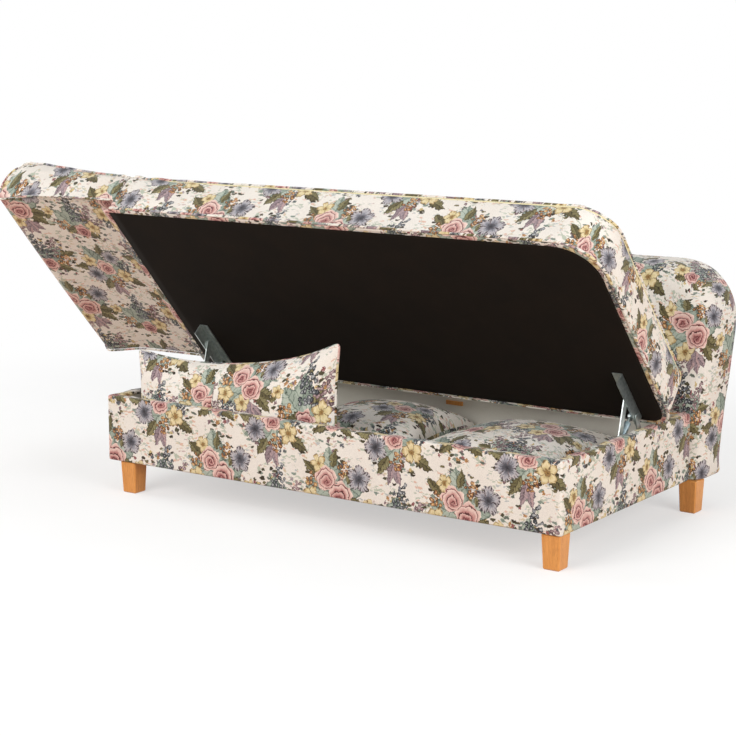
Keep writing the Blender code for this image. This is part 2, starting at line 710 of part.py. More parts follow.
def build_headrest(lid, head, seat_cover, seat_foam):
    right = SEAT_LEFT - CREASE_GAP
    left = right - HEAD_LENGTH
    low = (left, SEAT_FRONT, UNDERSIDE + HEAD_STEP)
    high = (right, SEAT_BACK, SEAT_TOP)

    def form(point):
        place = soften(point, low, high, ((2, 1),), ((0, -1), (1, -1), (1, 1)), SEAT_EDGE, HEAD_CORNER)
        place = round_corner(place, (0, 2), (left, high[2]), (-1, 1), HEAD_NOSE)
        place = round_corner(place, (0, 2), (left, low[2]), (-1, -1), HEAD_CHIN)
        place = round_corner(place, (0, 2), (right, high[2]), (1, 1), SEAT_EDGE)
        reach = max(0.0, right - place.x) / HEAD_LENGTH
        share = (place.z - low[2]) / (high[2] - low[2])
        swell = HEAD_RISE * reach ** 1.2 * share - HEAD_DROOP * reach ** 2 * (1 - share)
        return place + Vector((0, 0, swell))

    sides = near(SEAT_EDGE) + near(HEAD_CORNER)
    ends = sorted({*near(HEAD_CHIN), *near(HEAD_CORNER), *near(HEAD_NOSE)})
    lines = (graded(left, right, ends, near(SEAT_EDGE), 5),
             graded(low[1], high[1], sides, sides, 4),
             graded(low[2], high[2], near(HEAD_CHIN), near(SEAT_EDGE) + near(HEAD_NOSE), 1))
    cover = add_object("headrest_cover", soft_mesh("headrest_cover", lines, form), FLORAL, head)

    pocket_low = Vector((left + HEAD_END_SKIN, SEAT_FRONT + PAD_SKIN, low[2] + HEAD_SKIN))
    pocket_high = Vector((right - PAD_SKIN, SEAT_BACK - PAD_SKIN, high[2] - PAD_SKIN))
    boolean(cover, boxes("headrest_pocket", [(pocket_low, pocket_high)], None, head))

    rail_inner_front = SEAT_FRONT + SEAT_SKIN + GAP + RAIL_WIDTH
    rail_inner_back = SEAT_BACK - SEAT_SKIN - GAP - RAIL_WIDTH
    seat_arm = {"front": rail_inner_front + GAP, "back": rail_inner_back - GAP - ARM}
    head_arm = {"front": seat_arm["front"] + ARM + GAP, "back": seat_arm["back"] - GAP - ARM}
    board_low = pocket_low + Vector((GAP, 0, GAP))
    board_front, board_back = head_arm["front"] + ARM + GAP, head_arm["back"] - GAP
    board_top = board_low.z + HEAD_BOARD
    board_end = pocket_high.x - GAP
    boxes("headrest_board", [((board_low.x, board_front, board_low.z), (board_end, board_back, board_top))],
          PINE, head)
    foam = boxes("headrest_foam", [((board_low.x, pocket_low.y + GAP, board_top + GAP),
                                    (board_end, pocket_high.y - GAP, pocket_high.z - GAP))], FOAM, head)

    pivot = (SEAT_LEFT - CREASE_GAP / 2, SEAT_TOP - HINGE_DEPTH)
    seat_foot = (pivot[0] + ARM_FOOT, FRAME_LOW + ARM_EYE + GAP)
    head_foot = (pivot[0] - ARM_FOOT, board_low.z + ARM_EYE)
    hole = [circle(pivot, PIN_RADIUS + PIN_CLEARANCE)]
    spans, slots = [], []
    for side in ("front", "back"):
        for name, foot, start, carrier in (("ratchet_seat_arm_", seat_foot, seat_arm[side], lid),
                                           ("ratchet_head_arm_", head_foot, head_arm[side], head)):
            plate(name + side, capsule(foot, pivot, ARM_EYE), -start - ARM, -start, ZINC, carrier, hole,
                  LENGTHWISE)
        low_end, high_end = sorted((seat_arm[side], head_arm[side]))
        rods("ratchet_pin_" + side, [((pivot[0], low_end, pivot[1]), (pivot[0], high_end + ARM, pivot[1]))],
             PIN_RADIUS, ZINC, lid)
        spans.append(((pivot[0] - ARM_ROOM - CREASE_GAP, low_end - ARM, UNDERSIDE),
                      (pivot[0] + ARM_ROOM + CREASE_GAP, high_end + 2 * ARM, SEAT_TOP + HEAD_RISE)))
        slots.append(((pivot[0] - ARM_SLOT_REACH, low_end - ARM / 4, pivot[1] - ARM_SLOT_DROP),
                      (pivot[0] + ARM_SLOT_REACH, high_end + 1.25 * ARM, pivot[1] + ARM_EYE + ARM / 4)))
    boolean(seat_foam, boxes("seat_arm_room", spans, None, lid))
    boolean(foam, boxes("head_arm_room", spans, None, head))
    boolean(seat_cover, boxes("seat_arm_slots", slots, None, lid))
    boolean(cover, boxes("head_arm_slots", slots, None, head))


# Lift fittings

def turn(vector, degrees):
    """Turn a (y, z) pair about +X."""
    angle = math.radians(degrees)
    return Vector((vector[0] * math.cos(angle) - vector[1] * math.sin(angle),
                   vector[0] * math.sin(angle) + vector[1] * math.cos(angle)))


def heading(start, end):
    """The angle about +X, in degrees, that turns +Z towards end."""
    return math.degrees(math.atan2(-(end[0] - start[0]), end[1] - start[1]))


class Linkage:
    """The lift's pivots, as (y, z), with the seat closed and open."""

    def __init__(self):
        self.front = Vector((BOX_DEPTH - FRONT_PIVOT_FROM_BACK, BOTTOM + FRONT_PIVOT_RISE))
        self.front_closed = Vector((BOX_DEPTH - RAIL_FRONT_PIVOT_FROM_BACK,
                                    UNDERSIDE - RAIL_FRONT_PIVOT_DROP))
        self.front_open = self.front + turn(self.front_closed - self.front, LINK_SWING)
        self.rear_closed = Vector((BOX_DEPTH - RAIL_REAR_PIVOT_FROM_BACK, UNDERSIDE - RAIL_REAR_PIVOT_DROP))
        self.rear_open = self.opened(self.rear_closed)
        chord = self.rear_closed - self.rear_open
        down = Vector((chord.y, -chord.x)).normalized()
        self.rear = (self.rear_closed + self.rear_open) / 2 + down * REAR_PIVOT_FALL
        self.strut = Vector((BOX_DEPTH - STRUT_PIVOT_FROM_BACK, BOTTOM + STRUT_PIVOT_RISE))

    def opened(self, closed):
        """Where a point of the closed seat goes when the seat is open."""
        return self.front_open + turn(closed - self.front_closed, -OPEN_ANGLE)


def strap(name, length, low, high, carrier, bored_above):
    """A flat link along its carrier's Z, bored at its lower eye and, where asked, at its upper one."""
    outline = capsule((0.0, 0.0), (0.0, length), LINK_WIDTH / 2)
    eyes = [(0.0, 0.0), (0.0, length)] if bored_above else [(0.0, 0.0)]
    holes = [circle(eye, PIVOT_RADIUS + PIN_CLEARANCE) for eye in eyes]
    plate(name, outline, low, high, ZINC, carrier, holes, ACROSS)


def build_lift(lid, linkage):
    wall = {"left": (-BOX_LENGTH + WALL, 1), "right": (-WALL, -1)}
    plate_low = (linkage.strut[0] - PLATE_MARGIN, min(linkage.strut[1], linkage.rear[1]) - PLATE_MARGIN)
    plate_high = (linkage.rear[0] + PLATE_MARGIN, linkage.front[1] + PLATE_MARGIN)
    rail_span = (linkage.front_closed[0] - LID_RAIL_AHEAD, linkage.rear_closed[0] + LID_RAIL_BEHIND)
    joints = {"front_links": linkage.front, "rear_links": linkage.rear, "struts": linkage.strut}
    aims = {"front_links": linkage.front_open, "rear_links": linkage.rear_open, "struts": linkage.rear_open}
    carriers = {}
    for name, place in joints.items():
        carriers[name] = add_empty(name + "_axis", ROOT)
        carriers[name].location = (0.0, *place)
        carriers[name].rotation_euler = (math.radians(heading(place, aims[name])), 0.0, 0.0)
    front_length = (linkage.front_open - linkage.front).length
    rear_length = (linkage.rear_open - linkage.rear).length
    strut_length = (linkage.rear_open - linkage.strut).length

    for side, (face, way) in wall.items():
        def reach(layer):
            """The face of a layer that looks into the box."""
            return face + way * (layer * LAYER + STEEL)

        def span(layer):
            return sorted((face + way * (layer * LAYER), reach(layer)))

        base_span = sorted((face + way * GAP, face + way * (GAP + STEEL)))
        base = plate("lift_base_" + side, rounded_rectangle(plate_low, plate_high, [PLATE_MARGIN / 2] * 4),
                     *base_span, ZINC, facing=ACROSS)
        strut_middle = face + way * (4 * LAYER + STRUT_RADIUS)
        stud_start = sum(base_span) / 2
        studs = [(linkage.front, reach(FRONT_LAYER)), (linkage.rear, reach(REAR_LAYER)),
                 (linkage.strut, strut_middle + way * STRUT_EYE)]
        for index, (pivot, end) in enumerate(studs):
            stud = rods(f"lift_stud_{side}_{index}", [((stud_start, *pivot), (end, *pivot))], PIVOT_RADIUS)
            boolean(base, stud, "UNION")
        strap("front_link_" + side, front_length, *span(FRONT_LAYER), carriers["front_links"], True)
        strap("rear_link_" + side, rear_length, *span(REAR_LAYER), carriers["rear_links"], False)

        flange, top = span(FLANGE_LAYER), UNDERSIDE - GAP
        leaf_end = reach(FLANGE_LAYER) + way * LID_RAIL_LEAF
        heel = face + way * FLANGE_LAYER * LAYER
        outline = [(heel, top), (heel, top - LID_RAIL_HEIGHT), (reach(FLANGE_LAYER), top - LID_RAIL_HEIGHT),
                   (reach(FLANGE_LAYER), top - STEEL), (leaf_end, top - STEEL), (leaf_end, top)]
        rail = plate("lid_rail_" + side, outline, -rail_span[1], -rail_span[0], ZINC, lid, facing=LENGTHWISE)
        stud = ((sum(flange) / 2, *linkage.front_closed), (reach(FRONT_LAYER), *linkage.front_closed))
        boolean(rail, rods("lid_rail_stud_" + side, [stud], PIVOT_RADIUS, None, lid), "UNION")
        build_strut(side, strut_middle, strut_length, carriers["struts"], reach(FLANGE_LAYER) + way * GAP)


def build_strut(side, middle, length, carrier, rail_face):
    """A gas strut along its carrier's Z: a bored cylinder, and a rod whose stud meets the lid rail."""
    eye = (middle - STRUT_EYE, middle + STRUT_EYE)
    top = length - STRUT_HEAD_ROOM
    cylinder = rods("strut_cylinder_" + side, [((middle, 0, EYE_RADIUS), (middle, 0, top))], STRUT_RADIUS,
                    STRUT_STEEL, carrier)
    lug = plate("strut_lug_" + side, capsule((0.0, 0.0), (0.0, 2 * EYE_RADIUS), STRUT_RADIUS - GAP), *eye,
                None, carrier, facing=ACROSS)
    boolean(cylinder, lug, "UNION")
    hole = rods("strut_lug_hole_" + side, [((middle - LINK_WIDTH, 0, 0), (middle + LINK_WIDTH, 0, 0))],
                PIVOT_RADIUS + PIN_CLEARANCE, None, carrier)
    boolean(cylinder, hole)
    bore = rods("strut_bore_" + side, [((middle, 0, STRUT_BOTTOM), (middle, 0, top + EYE_RADIUS))],
                STRUT_BORE, None, carrier)
    boolean(cylinder, bore)
    rod = rods("strut_rod_" + side, [((middle, 0, STRUT_BOTTOM + STEEL), (middle, 0, length))], STRUT_ROD,
               ZINC, carrier)
    head = plate("strut_head_" + side, circle((0.0, length), STRUT_RADIUS - GAP), *eye, None, carrier,
                 facing=ACROSS)
    boolean(rod, head, "UNION")
    stud = rods("strut_stud_" + side, [((rail_face, 0, length), (middle, 0, length))], PIVOT_RADIUS,
                None, carrier)
    boolean(rod, stud, "UNION")


# Stored cushions

def pillow_lines(count):
    return (list(np.linspace(-1, 1, count + 1)), list(np.linspace(-1, 1, count + 1)), [-1.0, 0.0, 1.0])


def crown_share(u, v):
    """How full a pillow is at a place on its face."""
    return ((1 - u ** 4) * (1 - v ** 4)) ** 0.7


def square_pillow(name, size, thickness, x, y, degrees):
    """A square cushion lying on the floor panel, flat where it rests."""
    half = size / 2
    low = -0.42 * thickness

    def form(point):
        u, v, w = point
        height = w * (CUSHION_SEAM + (thickness / 2 - CUSHION_SEAM) * crown_share(u, v))
        return Vector((u * half * (1 - CUSHION_PULL * (1 - v * v)),
                       v * half * (1 - CUSHION_PULL * (1 - u * u)), max(height, low)))
    item = add_object(name, soft_mesh(name, pillow_lines(10), form), FLORAL)
    item.location = (x, y, FLOOR_TOP + GAP - low)
    item.rotation_euler = (0.0, 0.0, math.radians(degrees))


def build_cushions():
    square_pillow("cushion_rear", REAR_CUSHION_SIZE, SQUARE_CUSHION_THICK, -REAR_CUSHION_FROM_RIGHT,
                  BOX_DEPTH - REAR_CUSHION_FROM_BACK, REAR_CUSHION_TURN)
    square_pillow("cushion_front", FRONT_CUSHION_SIZE, SQUARE_CUSHION_THICK, -FRONT_CUSHION_FROM_RIGHT,
                  BOX_DEPTH - FRONT_CUSHION_FROM_BACK, FRONT_CUSHION_TURN)
    middle = -BOX_LENGTH + LONG_CUSHION_FROM_LEFT
    front = WALL + GAP + LONG_CUSHION_THICK / 2

    def standing(point):
        u, v, w = point
        rise = (v + 1) / 2
        height = LONG_CUSHION_LEFT + (LONG_CUSHION_RIGHT - LONG_CUSHION_LEFT) * (u + 1) / 2
        dip = LONG_CUSHION_DIP * (1 - u * u) * rise
        deep = -w * (CUSHION_SEAM + (LONG_CUSHION_THICK / 2 - CUSHION_SEAM) * crown_share(u, v))
        return Vector((middle + u * LONG_CUSHION_WIDTH / 2 * (1 - CUSHION_PULL / 2 * (1 - v * v)),
                       front + deep + LONG_CUSHION_LEAN * rise, FLOOR_TOP + GAP + height * rise * (1 - dip)))
    add_object("cushion_long", soft_mesh("cushion_long", pillow_lines(12), standing), FLORAL)


def stand_at_origin():
    """Bring the middle of the footprint to the origin, with the floor at zero."""
    bpy.context.view_layer.update()
    graph = bpy.context.evaluated_depsgraph_get()
    corners = []
    for item in PARTS.objects:
        if item.type == "MESH":
            shown = item.evaluated_get(graph)
            corners += [shown.matrix_world @ vert.co for vert in shown.data.vertices]
    corners = np.array(corners)
    low, high = corners.min(axis=0), corners.max(axis=0)
    ROOT.location = (-(low[0] + high[0]) / 2, -(low[1] + high[1]) / 2, -low[2])
    bpy.context.view_layer.update()


def main():
    back_board, room_low, room_high = build_box()
    beam = build_backrest(back_board)
    build_legs(room_low, room_high, beam)
    linkage = Linkage()
    lid = add_empty("lid_axis", ROOT, (0.0, *linkage.front_closed))
    lid.location = (0.0, *linkage.front_open)
    lid.rotation_euler = (math.radians(-OPEN_ANGLE), 0.0, 0.0)
    crease = Vector((SEAT_LEFT - CREASE_GAP / 2, 0.0, SEAT_TOP - HINGE_DEPTH))
    head = add_empty("headrest_axis", lid, crease)
    head.location = crease - Vector((0.0, *linkage.front_closed))
    seat_cover, seat_foam = build_seat(lid)
    build_headrest(lid, head, seat_cover, seat_foam)
    build_lift(lid, linkage)
    build_cushions()
    stand_at_origin()


main()
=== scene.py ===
"""Recamier with a lift-up seat: the fabrics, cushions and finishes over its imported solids.

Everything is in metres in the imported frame: X along the length, Y towards the back, Z up. The pieces
are drawn in the box frame, whose zero is the box's front right corner on the floor, with the seat
closed; the seat's own pieces are then carried to the open stop at which the solids rest.
"""
from __future__ import annotations

import ast
import itertools
import json
import logging
import math
from dataclasses import dataclass, field
from enum import Enum
from typing import Callable, Sequence

import bpy
import numpy as np
from mathutils import Matrix, Vector, noise

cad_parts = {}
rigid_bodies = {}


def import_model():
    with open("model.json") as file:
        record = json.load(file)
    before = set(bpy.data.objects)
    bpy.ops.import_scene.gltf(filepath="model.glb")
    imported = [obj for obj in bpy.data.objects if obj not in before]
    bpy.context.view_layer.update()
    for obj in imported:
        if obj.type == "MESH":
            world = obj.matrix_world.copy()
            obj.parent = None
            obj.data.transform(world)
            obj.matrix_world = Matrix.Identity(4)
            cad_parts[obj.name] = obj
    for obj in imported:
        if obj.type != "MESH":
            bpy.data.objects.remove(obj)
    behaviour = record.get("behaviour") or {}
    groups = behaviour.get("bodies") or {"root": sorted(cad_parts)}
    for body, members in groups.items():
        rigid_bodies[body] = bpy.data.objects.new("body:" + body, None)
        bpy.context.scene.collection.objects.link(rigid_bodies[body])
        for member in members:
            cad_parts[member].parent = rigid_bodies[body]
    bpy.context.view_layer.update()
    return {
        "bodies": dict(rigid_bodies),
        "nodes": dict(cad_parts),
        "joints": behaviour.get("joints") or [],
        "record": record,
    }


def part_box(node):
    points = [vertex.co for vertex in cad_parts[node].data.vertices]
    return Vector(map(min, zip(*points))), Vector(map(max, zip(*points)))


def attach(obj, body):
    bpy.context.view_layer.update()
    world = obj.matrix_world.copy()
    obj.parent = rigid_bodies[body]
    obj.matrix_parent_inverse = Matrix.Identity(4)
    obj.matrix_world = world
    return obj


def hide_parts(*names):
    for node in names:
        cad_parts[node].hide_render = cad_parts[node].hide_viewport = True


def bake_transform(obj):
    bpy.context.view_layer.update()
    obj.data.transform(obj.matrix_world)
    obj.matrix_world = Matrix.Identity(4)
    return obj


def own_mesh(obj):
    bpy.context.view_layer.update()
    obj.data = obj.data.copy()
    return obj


LOG = logging.getLogger("recamier")
IMAGE_SIDE = 736
# Millimetres in a metre.
METRE = 1000.0
# A point nearer than this to a face lies on it.
TOUCH = 1e-5
# Stands for a length of nothing where one is divided by.
LEAST_LENGTH = 1e-9
# The share of its radius by which a sewn-in cord stands out of its seam.
PIPING_PROUD = 0.7

Tree = bpy.types.NodeTree
Node = bpy.types.Node
Piece = bpy.types.Object
Inputs = dict[str, object]
Pair = tuple[float, float]
Point = tuple[float, float, float]
Colour = tuple[float, float, float, float]
Shape = Callable[[Vector], Vector]
Stops = tuple[tuple[float, str], ...]
Side = tuple[int, int]

WHITE: Colour = (1.0, 1.0, 1.0, 1.0)


# Colours and nodes

def linear(hex_value: str) -> Colour:
    """Turn an sRGB hex value into a linear colour.

    Args:
        hex_value: The colour as #rrggbb.

    Returns:
        Red, green, blue and an alpha of one.
    """
    channels = [int(hex_value[i:i + 2], 16) / 255 for i in (1, 3, 5)]
    red, green, blue = [c / 12.92 if c <= 0.04045 else ((c + 0.055) / 1.055) ** 2.4 for c in channels]
    return red, green, blue, 1.0


def add(tree: Tree, kind: str, *inputs: object, stops: Stops = (),
        named: Inputs | None = None, **settings: object) -> Node:
    """Add a node with its settings and links.

    Args:
        tree: The node tree.
        kind: The node's type, without its ShaderNode prefix.
        inputs: Values, sockets or nodes for the node's sockets, in order; None leaves one alone.
        stops: Places and hex colours, for a colour ramp.
        named: Values, sockets or nodes for sockets by name.
        settings: The node's own properties.

    Returns:
        The node. As an input it stands for its first output.
    """
    made = tree.nodes.new("ShaderNode" + kind)
    for name, value in settings.items():
        setattr(made, name, value)
    for _ in stops[2:]:
        made.color_ramp.elements.new(1.0)
    for index, (place, hex_value) in enumerate(stops):
        made.color_ramp.elements[index].position = place
        made.color_ramp.elements[index].color = linear(hex_value)
    pairs = list(zip([s for s in made.inputs if s.enabled], inputs))
    pairs += [(made.inputs[name], value) for name, value in (named or {}).items()]
    for socket, value in pairs:
        if isinstance(value, Node):
            value = next(s for s in value.outputs if s.enabled)
        if isinstance(value, bpy.types.NodeSocket):
            tree.links.new(value, socket)
        elif value is not None:
            socket.default_value = value
    return made


SIGNS = {ast.Add: "ADD", ast.Sub: "SUBTRACT", ast.Mult: "MULTIPLY", ast.Div: "DIVIDE", ast.Pow: "POWER",
         ast.Lt: "LESS_THAN", ast.Gt: "GREATER_THAN"}


def formula(tree: Tree, text: str, **values: object) -> object:
    """Lay a formula out as nodes.

    Args:
        tree: The node tree.
        text: The formula, with the nodes' own names for functions, such as sine or arctan2.
        values: What each name in it stands for.

    Returns:
        The node that holds the result, or a plain number.
    """
    def lay(part: ast.AST) -> object:
        """Lay out one part of the formula.

        Args:
            part: The part, as it was parsed.

        Returns:
            The node that holds its result, or a plain number.
        """
        if isinstance(part, ast.Constant):
            return float(part.value)
        if isinstance(part, ast.Name):
            return values[part.id]
        if isinstance(part, ast.UnaryOp):
            return add(tree, "Math", lay(part.operand), -1.0, operation="MULTIPLY")
        if isinstance(part, ast.Call):
            return add(tree, "Math", *[lay(a) for a in part.args], operation=part.func.id.upper())
        if isinstance(part, ast.Compare):
            sign, pair = part.ops[0], (part.left, part.comparators[0])
        else:
            sign, pair = part.op, (part.left, part.right)
        return add(tree, "Math", *[lay(p) for p in pair], operation=SIGNS[type(sign)])
    return lay(ast.parse(text).body[0].value)


def scale_of(size: float, unit: float = 1.0) -> float:
    """The scale, to two figures, of marks a size in millimetres apart; unit is METRE on metres."""
    return float(f"{unit / size:.2g}")


def bare_tree(owner: bpy.types.Material | bpy.types.World) -> Tree:
    """Turn an owner's nodes on and clear them.

    Args:
        owner: The material or the world.

    Returns:
        Its empty node tree.
    """
    owner.use_nodes = True
    owner.node_tree.nodes.clear()
    return owner.node_tree


# Finishes

@dataclass(frozen=True)
class Finish:
    """A finish: what the surface is, and the record's slot that it belongs to.

    The sizes of a finish's marks are in millimetres.
    """

    name: str
    slot: str

    def lay(self, tree: Tree) -> Inputs:
        """Lay out the finish's nodes.

        Args:
            tree: The material's node tree.

        Returns:
            The shader's inputs, by name.
        """
        raise NotImplementedError

    def make(self) -> bpy.types.Material:
        """Make the material.

        Returns:
            The material, with one shader.
        """
        material = bpy.data.materials.new(self.name)
        tree = bare_tree(material)
        shader = add(tree, "BsdfPrincipled", named=self.lay(tree))
        add(tree, "OutputMaterial", shader)
        material["slot"] = self.slot
        return material


class Kind(Enum):
    """The kinds of bloom and leaf in the woven pattern, in the order in which they overlap."""

    TEAL_LEAF = "teal leaf"
    OLIVE_LEAF = "olive leaf"
    LILAC_SPIRE = "lilac spire"
    NAVY_SPIRE = "navy spire"
    TULIP = "tulip petal"
    NAVY_HEAD = "navy flower head"
    TAN_HEAD = "tan flower head"
    MALLOW = "mallow"
    ANEMONE = "anemone"
    ROSE = "rose"


# A bloom's kind, its place across and up from the posy's middle, its turn, its size and its tint.
Placed = tuple[Kind, float, float, float, float, float]
Posy = tuple[Pair, tuple[Placed, ...]]

# Each posy's middle in the repeat, and its blooms, in millimetres and degrees.
POSIES: tuple[Posy, ...] = (
    ((100, 130), (
        (Kind.ROSE, -22, 26, 10, 38, 0.0), (Kind.ROSE, 24, -14, -25, 42, 0.1),
        (Kind.ANEMONE, -70, -30, 0, 27, 0.0), (Kind.ANEMONE, -8, -60, 20, 25, 0.1),
        (Kind.ANEMONE, -48, 66, 40, 22, 0.0), (Kind.MALLOW, 84, 40, 15, 33, 0.0),
        (Kind.TAN_HEAD, -64, 16, 0, 27, 0.0), (Kind.TAN_HEAD, 36, 58, 50, 23, 0.1),
        (Kind.NAVY_HEAD, -54, -74, 0, 31, 0.0), (Kind.TULIP, 28, -88, -75, 30, 0.0),
        (Kind.TULIP, 42, -84, -45, 27, 0.1), (Kind.TULIP, 14, -92, -105, 26, 0.0),
        (Kind.LILAC_SPIRE, -24, -106, 165, 36, 0.0), (Kind.TEAL_LEAF, -10, 58, 95, 46, 0.0),
        (Kind.TEAL_LEAF, -40, -4, 170, 44, 0.1), (Kind.TEAL_LEAF, 58, 8, 20, 40, 0.0),
        (Kind.TEAL_LEAF, -30, -40, 215, 42, 0.0), (Kind.OLIVE_LEAF, 74, -34, -22, 36, 0.1),
        (Kind.OLIVE_LEAF, 66, -58, -50, 34, 0.0), (Kind.OLIVE_LEAF, 60, 44, 60, 26, 0.0),
        (Kind.OLIVE_LEAF, -76, 52, 140, 28, 0.1), (Kind.OLIVE_LEAF, 2, 84, 80, 24, 0.0))),
    ((300, 60), (
        (Kind.ROSE, 6, -40, 0, 30, 0.35), (Kind.TEAL_LEAF, -32, 4, 125, 46, 0.0),
        (Kind.TEAL_LEAF, 0, 30, 85, 42, 0.1), (Kind.TEAL_LEAF, 30, -4, 40, 36, 0.0),
        (Kind.NAVY_SPIRE, 18, 62, -5, 58, 0.0), (Kind.LILAC_SPIRE, 66, 36, -30, 42, 0.0),
        (Kind.LILAC_SPIRE, 96, 4, -55, 38, 0.1), (Kind.ANEMONE, 56, -22, 10, 26, 0.0),
        (Kind.ANEMONE, -84, 40, 0, 18, 0.1), (Kind.TAN_HEAD, -56, -18, 20, 25, 0.0),
        (Kind.OLIVE_LEAF, -30, -36, 200, 28, 0.0), (Kind.OLIVE_LEAF, 36, -52, -40, 28, 0.1),
        (Kind.OLIVE_LEAF, 44, 14, 50, 24, 0.0), (Kind.OLIVE_LEAF, -98, 22, 215, 20, 0.1))),
    ((300, 290), (
        (Kind.ROSE, -6, 6, 35, 36, 0.05), (Kind.ANEMONE, 52, -26, 30, 28, 0.0),
        (Kind.ANEMONE, -56, 34, 15, 24, 0.1), (Kind.MALLOW, -62, -28, 40, 32, 0.1),
        (Kind.MALLOW, 40, 54, 0, 28, 0.0), (Kind.TAN_HEAD, 8, -58, 70, 25, 0.1),
        (Kind.NAVY_HEAD, 74, 18, 30, 25, 0.1), (Kind.TEAL_LEAF, -28, 52, 110, 42, 0.1),
        (Kind.TEAL_LEAF, 36, 18, 30, 40, 0.0), (Kind.TEAL_LEAF, -20, -44, 230, 40, 0.0),
        (Kind.OLIVE_LEAF, -92, 6, 175, 30, 0.0), (Kind.OLIVE_LEAF, 84, -50, -30, 32, 0.1),
        (Kind.OLIVE_LEAF, -38, -72, 235, 28, 0.0), (Kind.OLIVE_LEAF, 14, 88, 75, 26, 0.1),
        (Kind.TULIP, -14, -92, 255, 28, 0.1), (Kind.TULIP, 6, -96, 285, 26, 0.0))),
    ((100, 350), (
        (Kind.NAVY_SPIRE, 0, 48, 8, 54, 0.1), (Kind.LILAC_SPIRE, -48, 34, 35, 42, 0.1),
        (Kind.LILAC_SPIRE, 44, 40, -28, 40, 0.0), (Kind.ROSE, -4, -34, 180, 31, 0.3),
        (Kind.ANEMONE, -54, -26, 0, 26, 0.1), (Kind.TAN_HEAD, 52, -20, 10, 26, 0.0),
        (Kind.TEAL_LEAF, -26, 6, 140, 44, 0.0), (Kind.TEAL_LEAF, 26, 4, 45, 42, 0.1),
        (Kind.OLIVE_LEAF, 40, -52, -35, 28, 0.0), (Kind.OLIVE_LEAF, -40, -56, 215, 28, 0.1),
        (Kind.OLIVE_LEAF, 80, 6, 10, 24, 0.0), (Kind.OLIVE_LEAF, -84, 2, 170, 22, 0.0))))


class Head(Enum):
    """The outline that a head of many small florets fills, as a formula of a floret's middle."""

    ROUND = "(cx * cx + cy * cy) < 0.66"
    SPIRE = "(absolute(cx) < 0.13 + 0.21 * (1 - cy)) * (absolute(cy) < 0.95)"


def nearest_repeat(tree: Tree, place: object, middle: Pair, repeat: Pair) -> Node:
    """Carry a place on the cloth into the repeat of the pattern round a middle.

    Args:
        tree: The node tree.
        place: The place on the cloth, in millimetres.
        middle: The middle of the repeat.
        repeat: The pattern repeat's width and height, in millimetres.

    Returns:
        The place within that repeat.
    """
    low = (middle[0] - repeat[0] / 2, middle[1] - repeat[1] / 2, -1.0)
    high = (middle[0] + repeat[0] / 2, middle[1] + repeat[1] / 2, 1.0)
    return add(tree, "VectorMath", place, high, low, operation="WRAP")


@dataclass(frozen=True)
class Bloom:
    """One kind of bloom: its yarn colours from dark to light, or from its middle to its rim."""

    stops: Stops
    scale: float = 1.15

    def locate(self, tree: Tree, place: Node, kind: Kind, repeat: Pair) -> tuple[object, object, object]:
        """Find the nearest bloom of a kind.

        Args:
            tree: The node tree.
            place: The place on the cloth, in millimetres.
            kind: The kind of bloom.
            repeat: The pattern repeat's width and height, in millimetres.

        Returns:
            The place within that bloom, across and up in units of its size, and the bloom's tint.
        """
        nearest, least = None, None
        for (x, y), blooms in POSIES:
            for _, across, up, turn, size, tint in [b for b in blooms if b[0] is kind]:
                middle = (x + across, y + up)
                size *= self.scale
                there = nearest_repeat(tree, place, middle, repeat)
                local = add(tree, "Mapping", there, (*middle, -tint), (0.0, 0.0, math.radians(turn)),
                            (size, size, 1.0), vector_type="TEXTURE")
                far = add(tree, "VectorMath", local, operation="LENGTH")
                if nearest is None:
                    nearest, least = local, far
                    continue
                closer = formula(tree, "far < least", far=far, least=least)
                nearest = add(tree, "Mix", closer, nearest, local, data_type="VECTOR")
                least = formula(tree, "minimum(far, least)", far=far, least=least)
        return tuple(add(tree, "SeparateXYZ", nearest).outputs)

    def draw(self, tree: Tree, x: object, y: object, tint: object) -> tuple[object, object]:
        """Draw the bloom.

        Args:
            tree: The node tree.
            x: The place across the bloom.
            y: The place up the bloom.
            tint: The bloom's tint.

        Returns:
            Its tone along the yarn colours, and where it covers the cloth.
        """
        raise NotImplementedError


@dataclass(frozen=True)
class Rose(Bloom):
    """A full rose: petals wound round a dark heart that sits low in it."""

    def draw(self, tree: Tree, x: object, y: object, tint: object) -> tuple[object, object]:
        """Draw the rose.

        Args:
            tree: The node tree.
            x: The place across the bloom.
            y: The place up the bloom.
            tint: The bloom's tint.

        Returns:
            Its tone along the yarn colours, and where it covers the cloth.
        """
        far = formula(tree, "sqrt(x * x + y * y)", x=x, y=y)
        low = formula(tree, "y + 0.30 * (1 - minimum(1, far))", y=y, far=far)
        ring = formula(tree, "sqrt(x * x + low * low)", x=x, low=low)
        way = formula(tree, "arctan2(low, x)", x=x, low=low)
        wind = formula(tree, "fract(3.0 * ring - 0.1592 * way + 0.12 * sine(3 * way + 9 * tint))",
                       ring=ring, way=way, tint=tint)
        tone = formula(tree, "0.14 + 0.70 * ring + 0.46 * (wind - 0.5) - 0.36 * (wind < 0.16) - 0.5 * tint",
                       ring=ring, wind=wind, tint=tint)
        cover = formula(tree, "far < 0.90 + 0.09 * sine(5 * arctan2(y, x) + 40 * tint)", far=far, x=x, y=y,
                        tint=tint)
        return tone, cover


